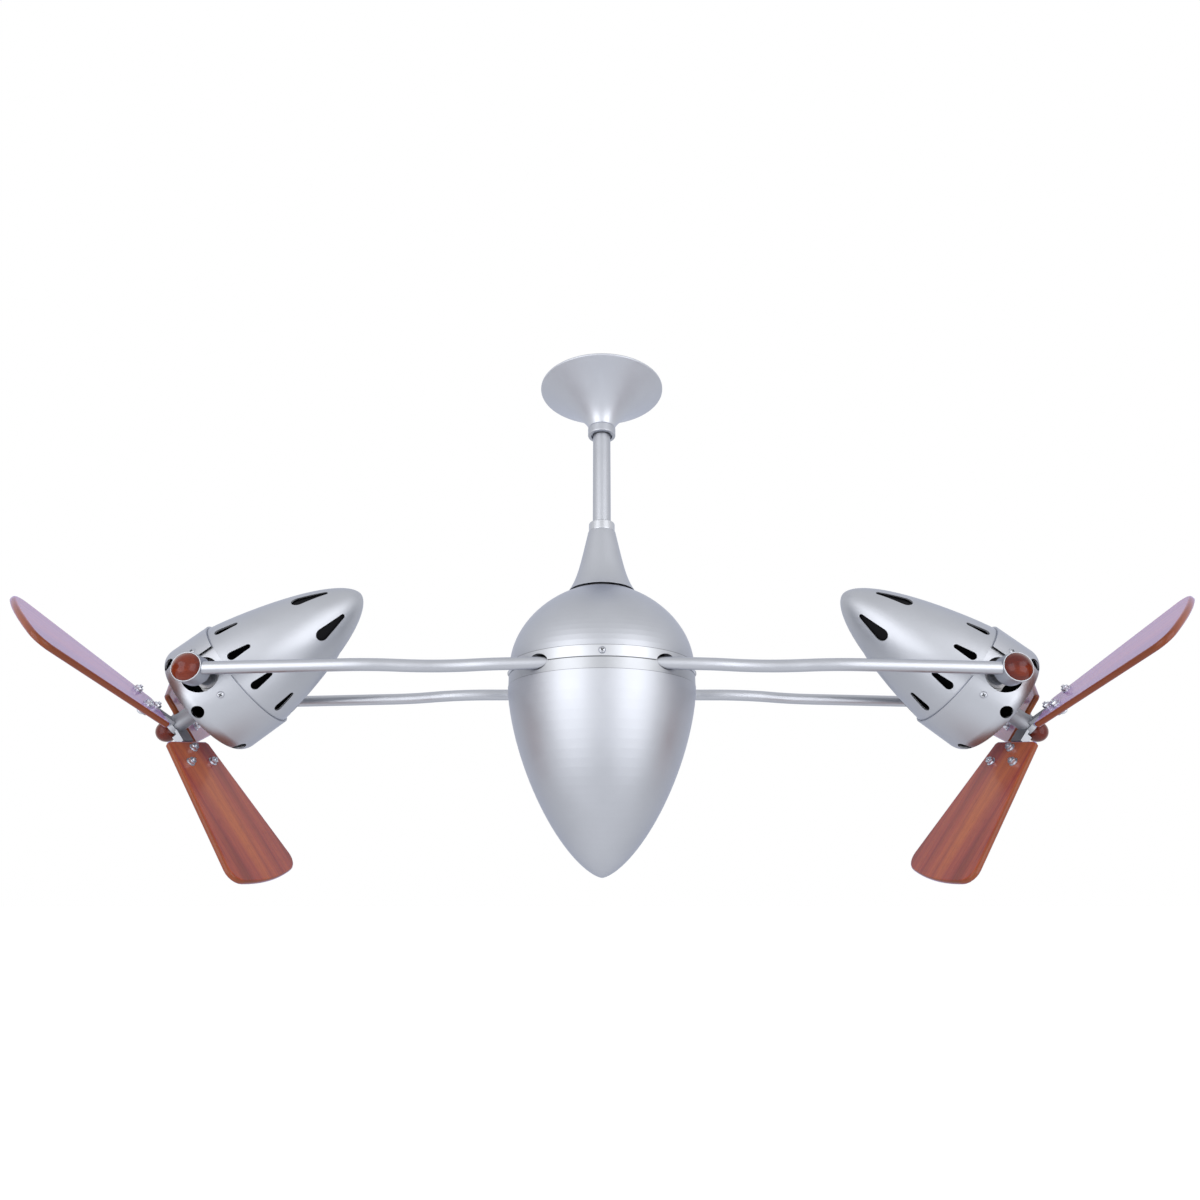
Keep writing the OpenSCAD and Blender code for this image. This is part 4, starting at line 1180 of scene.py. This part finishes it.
@dataclass
class Head(SidePart):
    """One motor head, which tilts between its sleeves."""

    kind: ClassVar[str] = "head"
    shell_edge: float = 0.4 * MM
    shell_r: float = 65.5 * MM
    screw_turn: float = 26.3
    screw_s: float = -3.0 * MM
    screw_head_h: float = 1.4 * MM
    screw_len: float = 12.0 * MM
    seam_s: float = -22.0 * MM
    tail_r: float = 61.2 * MM
    tail_len: float = 145.5 * MM
    tail_powers: Pair = (1.16, 0.545)
    tail_gap: float = 1.5 * MM
    looks_inward: float = 0.25
    looks_back: float = 0.9
    chamber_start: float = -77.9 * MM
    chamber_r: Pair = (31.0 * MM, 17.0 * MM)
    chamber_ends: Pair = (-85.0 * MM, -142.5 * MM)
    chamber_cuts: int = 8
    mouth_growth: float = 1.17
    slack: float = 1.0 * MM
    slots: int = 10
    slot_turn: float = 16.0
    slot_s: float = -33.0 * MM
    slot_len: float = 17.0 * MM
    slot_wide_r: float = 4.5 * MM
    slot_thin_r: float = 2.6 * MM
    slot_reach: Pair = (45.0 * MM, 80.0 * MM)
    slot_steps: int = 12

    def build(self) -> Iterator[str]:
        """Builds and dresses the pieces.

        Yields:
            Each piece's name.
        """
        for name in ("nose_shell", "tail_shell"):
            yield self.shell(name)
        for name, finish in (("head_yoke", CAST), ("motor_stator", COPPER), ("motor_bearings", STEEL),
                             ("pivot_bolts", STEEL)):
            yield self.paint(self.named(name), finish, *self.place.axes)
        yield self.housing()
        yield self.screws()

    def housing(self) -> str:
        """The motor's housing, whose rear chamber is widened until it nearly fills the tail, so its
        near-black paint stands for the shade seen through the slots: painted shade.

        Returns:
            The piece's name.
        """
        piece = self.refine(self.named("motor_housing"), DARK_PAINT_AND_SHADE, self.shell_edge)
        own = self.place.matrix
        back = own.inverted()
        axis = (own.to_3x3() @ UP).normalized()
        bm = bmesh.new()
        bm.from_mesh(piece.data)
        first, last = self.chamber_ends
        mouth_r, end_r = self.chamber_r
        for step in range(1, self.chamber_cuts):
            cut = own @ Vector((0.0, 0.0, first + (last - first) * step / self.chamber_cuts))
            bmesh.ops.bisect_plane(bm, geom=bm.verts[:] + bm.edges[:] + bm.faces[:], plane_co=cut,
                                   plane_no=axis)
        for vertex in bm.verts:
            spot = back @ vertex.co
            outward = math.hypot(spot.x, spot.y)
            if spot.z < self.chamber_start and end_r < outward < mouth_r + self.slack:
                growth = self.chamber_growth(spot.z) if spot.z < first + self.slack else self.mouth_growth
                vertex.co = own @ Vector((spot.x * growth, spot.y * growth, spot.z))
        bmesh.ops.remove_doubles(bm, verts=bm.verts, dist=MERGE)
        bm.to_mesh(piece.data)
        bm.free()
        return piece.name

    def chamber_growth(self, s: float) -> float:
        """How many times wider the rear chamber is drawn.

        Args:
            s: the place along the head's axis.

        Returns:
            The factor.
        """
        first, last = self.chamber_ends
        mouth_r, end_r = self.chamber_r
        share = min(1.0, max(0.0, (first - s) / (first - last)))
        power, root = self.tail_powers
        room = self.tail_r * (1.0 - ((self.seam_s - s) / self.tail_len) ** power) ** root
        return (room - self.tail_gap) / (mouth_r + (end_r - mouth_r) * share)

    def shell(self, name: str) -> str:
        """A vented shell: rounded rims, satin outside, and dark paint inside made near black to stand for the
        shade in the shell: partly real paint, partly painted shade.

        Args:
            name: nose_shell or tail_shell.

        Returns:
            The piece's name.
        """
        cutter = self.slot_cutter() if name == "tail_shell" else None
        piece = self.refine(self.named(name), SPUN_NICKEL, self.shell_edge, 2, *self.place.axes, cutter)
        piece.data.materials.append(DARK_PAINT_AND_SHADE.made())
        pivot, turn = self.place.axes
        axis = turn.col[2].normalized()
        for face in piece.data.polygons:
            out = face.center - pivot
            along = out.dot(axis)
            radial = (out - axis * along).normalized()
            # Faces that look inward get the near-black paint: painted shade.
            flat_inside = face.normal.dot(axis) < -self.looks_back and along > 0
            if face.normal.dot(radial) < -self.looks_inward or flat_inside:
                face.material_index = 1
        return piece.name

    def slot_cutter(self) -> Piece:
        """Teardrops round the seam that bring the small slots to their full width.

        Returns:
            The cutter, which isn't one of the object's pieces.
        """
        lean = math.acos((self.slot_wide_r - self.slot_thin_r) / self.slot_len)
        outline = []
        for back, radius, low, high in ((0.0, self.slot_wide_r, lean, math.tau - lean),
                                        (self.slot_len, self.slot_thin_r, -lean, lean)):
            for step in range(self.slot_steps + 1):
                a = low + (high - low) * step / self.slot_steps
                outline.append((back + radius * math.cos(a), radius * math.sin(a)))
        bm = bmesh.new()
        for number in range(self.slots):
            angle = math.radians(self.slot_turn + 360.0 / self.slots * number)
            turn = self.place.matrix @ Matrix.Rotation(angle, 4, "Z")
            inner, outer = [[bm.verts.new(turn @ Vector((reach, y, self.slot_s - x))) for x, y in outline]
                            for reach in self.slot_reach]
            for index in range(len(outline)):
                after = (index + 1) % len(outline)
                bm.faces.new((inner[index], inner[after], outer[after], outer[index]))
            bm.faces.new(inner)
            bm.faces.new(outer)
        bmesh.ops.recalc_face_normals(bm, faces=bm.faces)
        return poured("slot_cutter", bm)

    def screws(self) -> str:
        """The low round screws that hold the shells to the yoke.

        Returns:
            The piece's name.
        """
        matrix = self.place.matrix
        turns = [math.radians(s * 90.0 + o) for s in (-1, 1) for o in (-self.screw_turn, self.screw_turn)]
        out = [Vector((math.cos(a), math.sin(a), 0.0)) for a in turns]
        points = [matrix @ (d * self.shell_r + Vector((0.0, 0.0, self.screw_s))) for d in out]
        piece = round_screw_tree().set_on(
            self.named("shell_screws_cut"), points, [matrix.to_3x3() @ d for d in out],
            PLAIN_NICKEL.made(*self.place.axes), DARK_PAINT_AND_SHADE.made(),
            head_height=self.screw_head_h, length=self.screw_len)
        return self.stand_in(piece, PLAIN_NICKEL, self.named("shell_screws"))


@dataclass
class Rotor(SidePart):
    """One set of blades, which spins on its head."""

    kind: ClassVar[str] = "rotor"
    plane: float = 66.3 * MM
    blade_turn: float = -60.3
    blade_lean: float = 1.0
    blade_pitch: float = 11.4
    blade_t: float = 6.0 * MM
    blade_edge: float = 2.4 * MM
    blade_rounding: int = 4
    blade_sharp: float = 50.0
    iron_t: float = 2.5 * MM
    nut_reach: float = 6.4 * MM
    screw_head_r: float = 4.0 * MM
    screw_head_h: float = 2.4 * MM
    recess_w: float = 0.9 * MM
    hole_spare: float = 4.0 * MM
    gap: float = 0.05 * MM
    hub_edge: float = 0.35 * MM
    rim_inset: float = 0.2 * MM
    grain_shift: float = 60.0 * MM
    grain_steps: Pair = (0.37, 0.11)
    screw_spots: tuple[Pair, ...] = (
        (33.0 * MM, 0.0), (51.5 * MM, 17.6 * MM), (51.5 * MM, -17.6 * MM))

    def build(self) -> Iterator[str]:
        """Builds and dresses the pieces.

        Yields:
            Each piece's name.
        """
        yield self.paint(self.named("motor_shaft"), STEEL, *self.place.axes)
        yield self.refine(self.named("blade_hub"), DIMMED_HUB_NICKEL, self.hub_edge, 2, *self.place.axes).name
        yield self.paint(self.named("finial"), FINIAL_WOOD, *self.place.axes)
        for number, name in enumerate(("blade_upper", "blade_lower", "blade_rear")):
            yield self.blade(number, self.named(name))
        yield self.screws()
        yield self.nuts()

    def blade_matrix(self, number: int) -> Matrix:
        """A blade's place, with X out along it and Z away from the motor.

        Args:
            number: which blade.

        Returns:
            What takes the blade's own coordinates to the frame's.
        """
        return (
            self.place.matrix
            @ Matrix.Translation((0.0, 0.0, self.plane))
            @ Matrix.Rotation(math.radians(self.blade_turn - 360.0 / BLADES * number), 4, "Z")
            @ Matrix.Rotation(math.radians(-self.blade_lean), 4, "Y")
            @ Matrix.Rotation(math.radians(self.blade_pitch), 4, "X")
        )

    def blade(self, number: int, node: str) -> str:
        """A wooden blade with eased edges and its grain mapped from root to tip.

        Args:
            number: which blade.
            node: its node.

        Returns:
            The piece's name.
        """
        matrix = self.blade_matrix(number)
        half = self.blade_t / 2
        holes = [matrix @ Vector((x, y, z)) for x, y in self.screw_spots for z in (-half, half)]
        piece = rounded_copy(node, self.blade_edge, self.blade_rounding, self.blade_sharp, holes,
                             self.hole_spare)
        mesh, back = piece.data, matrix.inverted()
        along, across = (step * number for step in self.grain_steps)
        grain = mesh.uv_layers.new(name=GrainSource.MAP.value)
        for loop in mesh.loops:
            own = back @ mesh.vertices[loop.vertex_index].co
            grain.data[loop.index].uv = (own.x + along, own.y + own.z + across + self.grain_shift)
        rim = mesh.attributes.new(RIM, "FLOAT", "POINT")
        for vertex, item in zip(mesh.vertices, rim.data):
            item.value = 1.0 if abs((back @ vertex.co).z) < half - self.rim_inset else 0.0
        self.coat(piece, BLADE_WOOD)
        return self.stand_in(piece, BLADE_WOOD, node)

    def spots(self, height: float) -> tuple[list[Vector], list[Vector]]:
        """Where the blades' screws pass a height above the blades' middle plane.

        Args:
            height: the height, away from the motor.

        Returns:
            The points, and the direction away from the motor at each.
        """
        points, axes = [], []
        for number in range(BLADES):
            matrix = self.blade_matrix(number)
            for x, y in self.screw_spots:
                points.append(matrix @ Vector((x, y, height)))
                axes.append((matrix.to_3x3() @ UP).normalized())
        return points, axes

    def screws(self) -> str:
        """The screws through the irons and blades.

        Returns:
            The piece's name.
        """
        points, axes = self.spots(self.blade_t / 2 + self.iron_t + self.gap)
        piece = round_screw_tree().set_on(
            self.named("blade_screws_cut"), points, axes, PLATED.made(), DARK_PAINT_AND_SHADE.made(),
            head_radius=self.screw_head_r, head_height=self.screw_head_h,
            length=self.blade_t + self.iron_t + self.nut_reach, recess_width=self.recess_w)
        return self.stand_in(piece, PLATED, self.named("blade_screws"))

    def nuts(self) -> str:
        """The nuts and washers on the motor side of the blades.

        Returns:
            The piece's name.
        """
        points, axes = self.spots(-self.blade_t / 2 - self.gap)
        piece = nut_tree().set_on(self.named("blade_nuts_cut"), points, [-a for a in axes], PLATED.made())
        return self.stand_in(piece, PLATED, self.named("blade_nuts"))


# ------------------------------------------------------------------ studio


@dataclass
class Studio:
    """Camera, soft lamps, white surroundings and a pale floor a room's height below the ceiling."""

    camera_at: tuple[float, float, float] = (-0.0021, -0.815, -0.5475)
    camera_rise: float = 18.53
    lens: float = 22.86
    sensor: float = 36.0
    sky_colour: Colour = (0.93, 0.95, 1.0)
    sky_level: float = 0.55
    floor_z: float = -2.4
    floor_size: float = 60.0
    floor_greys: Pair = (0.93, 0.95)
    floor_patches: float = 3.0
    floor_roughness: float = 0.9
    floor_lift: float = 0.55
    floor_mirrored: float = 0.65
    lamp_distance: float = 1.9
    lamp_azimuth: float = 38.0
    lamp_z: float = -0.45
    lamp_size: Pair = (1.5, 2.0)
    lamp_power: float = 20.0

    def build(self) -> None:
        """Sets up the whole studio."""
        self.aim()
        self.surround()
        self.lay_floor()
        for sign in (-1, 1):
            self.hang_lamp(sign * self.lamp_azimuth)
        bpy.context.scene.view_settings.view_transform = "Standard"

    def aim(self) -> None:
        """Stands the camera where the photograph was taken."""
        data = bpy.data.cameras.new("camera")
        data.lens = self.lens
        data.sensor_width = self.sensor
        camera = bpy.data.objects.new("camera", data)
        camera.location = self.camera_at
        camera.rotation_euler = (math.radians(90.0 + self.camera_rise), 0.0, 0.0)
        bpy.context.scene.collection.objects.link(camera)
        bpy.context.scene.camera = camera

    def seen(self, wiring: Wiring, mirrored: float) -> Socket:
        """How much of the white a ray is shown.

        Args:
            wiring: the tree.
            mirrored: what reflected rays are shown.

        Returns:
            The share: 1 for rays from the camera or through glass, 0 for rays that light things.
        """
        rays = wiring.add("ShaderNodeLightPath").outputs
        glossy = wiring.reckon("MULTIPLY", rays["Is Glossy Ray"], mirrored)
        direct = wiring.reckon("MAXIMUM", rays["Is Camera Ray"], rays["Is Transmission Ray"])
        return wiring.reckon("MAXIMUM", direct, glossy)

    def surround(self) -> None:
        """White for the eye and in reflections, a plain level for everything else."""
        world = bpy.data.worlds.new("surroundings")
        world.use_nodes = True
        sky = Wiring(world.node_tree)
        sky.tree.nodes.clear()
        plain = sky.add("ShaderNodeBackground", color=self.sky_colour, strength=self.sky_level)
        white = sky.add("ShaderNodeBackground", color=WHITE, strength=1.0)
        mix = sky.add("ShaderNodeMixShader")
        for socket, value in zip(mix.inputs, (self.seen(sky, 1.0), plain.outputs[0], white.outputs[0])):
            sky.feed(socket, value)
        sky.add("ShaderNodeOutputWorld", surface=mix.outputs[0])
        bpy.context.scene.world = world

    def lay_floor(self) -> None:
        """Lays a pale floor that keeps the object's shadow."""
        half = self.floor_size / 2
        corners = [(-half, -half), (half, -half), (half, half), (-half, half)]
        mesh = bpy.data.meshes.new("floor")
        mesh.from_pydata([(x, y, self.floor_z) for x, y in corners], [], [(0, 1, 2, 3)])
        shader = Shader("pale_floor")
        dark, light = self.floor_greys
        patches = shader.noise(shader.place(), self.floor_patches)
        glow = shader.reckon("MULTIPLY", self.seen(shader, self.floor_mirrored), self.floor_lift)
        shader.coat(base_color=shader.tones(patches, WHITE, (0.3, dark), (0.7, light)),
                    roughness=self.floor_roughness, emission_color=WHITE, emission_strength=glow)
        mesh.materials.append(shader.material)
        linked("floor", mesh)

    def hang_lamp(self, azimuth: float) -> None:
        """Hangs one soft lamp, turned towards the body's middle.

        Args:
            azimuth: its direction, from the camera's side towards +X.
        """
        data = bpy.data.lights.new("soft_lamp", "AREA")
        data.shape = "RECTANGLE"
        data.size, data.size_y = self.lamp_size
        data.energy = self.lamp_power
        lamp = bpy.data.objects.new("soft_lamp", data)
        turn = math.radians(azimuth)
        aside = Vector((math.sin(turn), -math.cos(turn), 0.0)) * self.lamp_distance
        lamp.location = aside + UP * self.lamp_z
        lamp.rotation_euler = (-aside).to_track_quat("-Z", "Y").to_euler()
        bpy.context.scene.collection.objects.link(lamp)


def main() -> None:
    """Builds the studio and every sub-assembly."""
    logging.basicConfig(level=logging.INFO, format="%(name)s: %(message)s")
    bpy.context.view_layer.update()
    Studio().build()
    parts: list[SubAssembly] = [CeilingMount(), Carousel()]
    for side in Side:
        parts += [Head(side=side), Rotor(side=side)]
    for part in parts:
        for name in part.build():
            LOG.info("%s: %s", part.body, name)


if __name__ == "__main__":
    main()
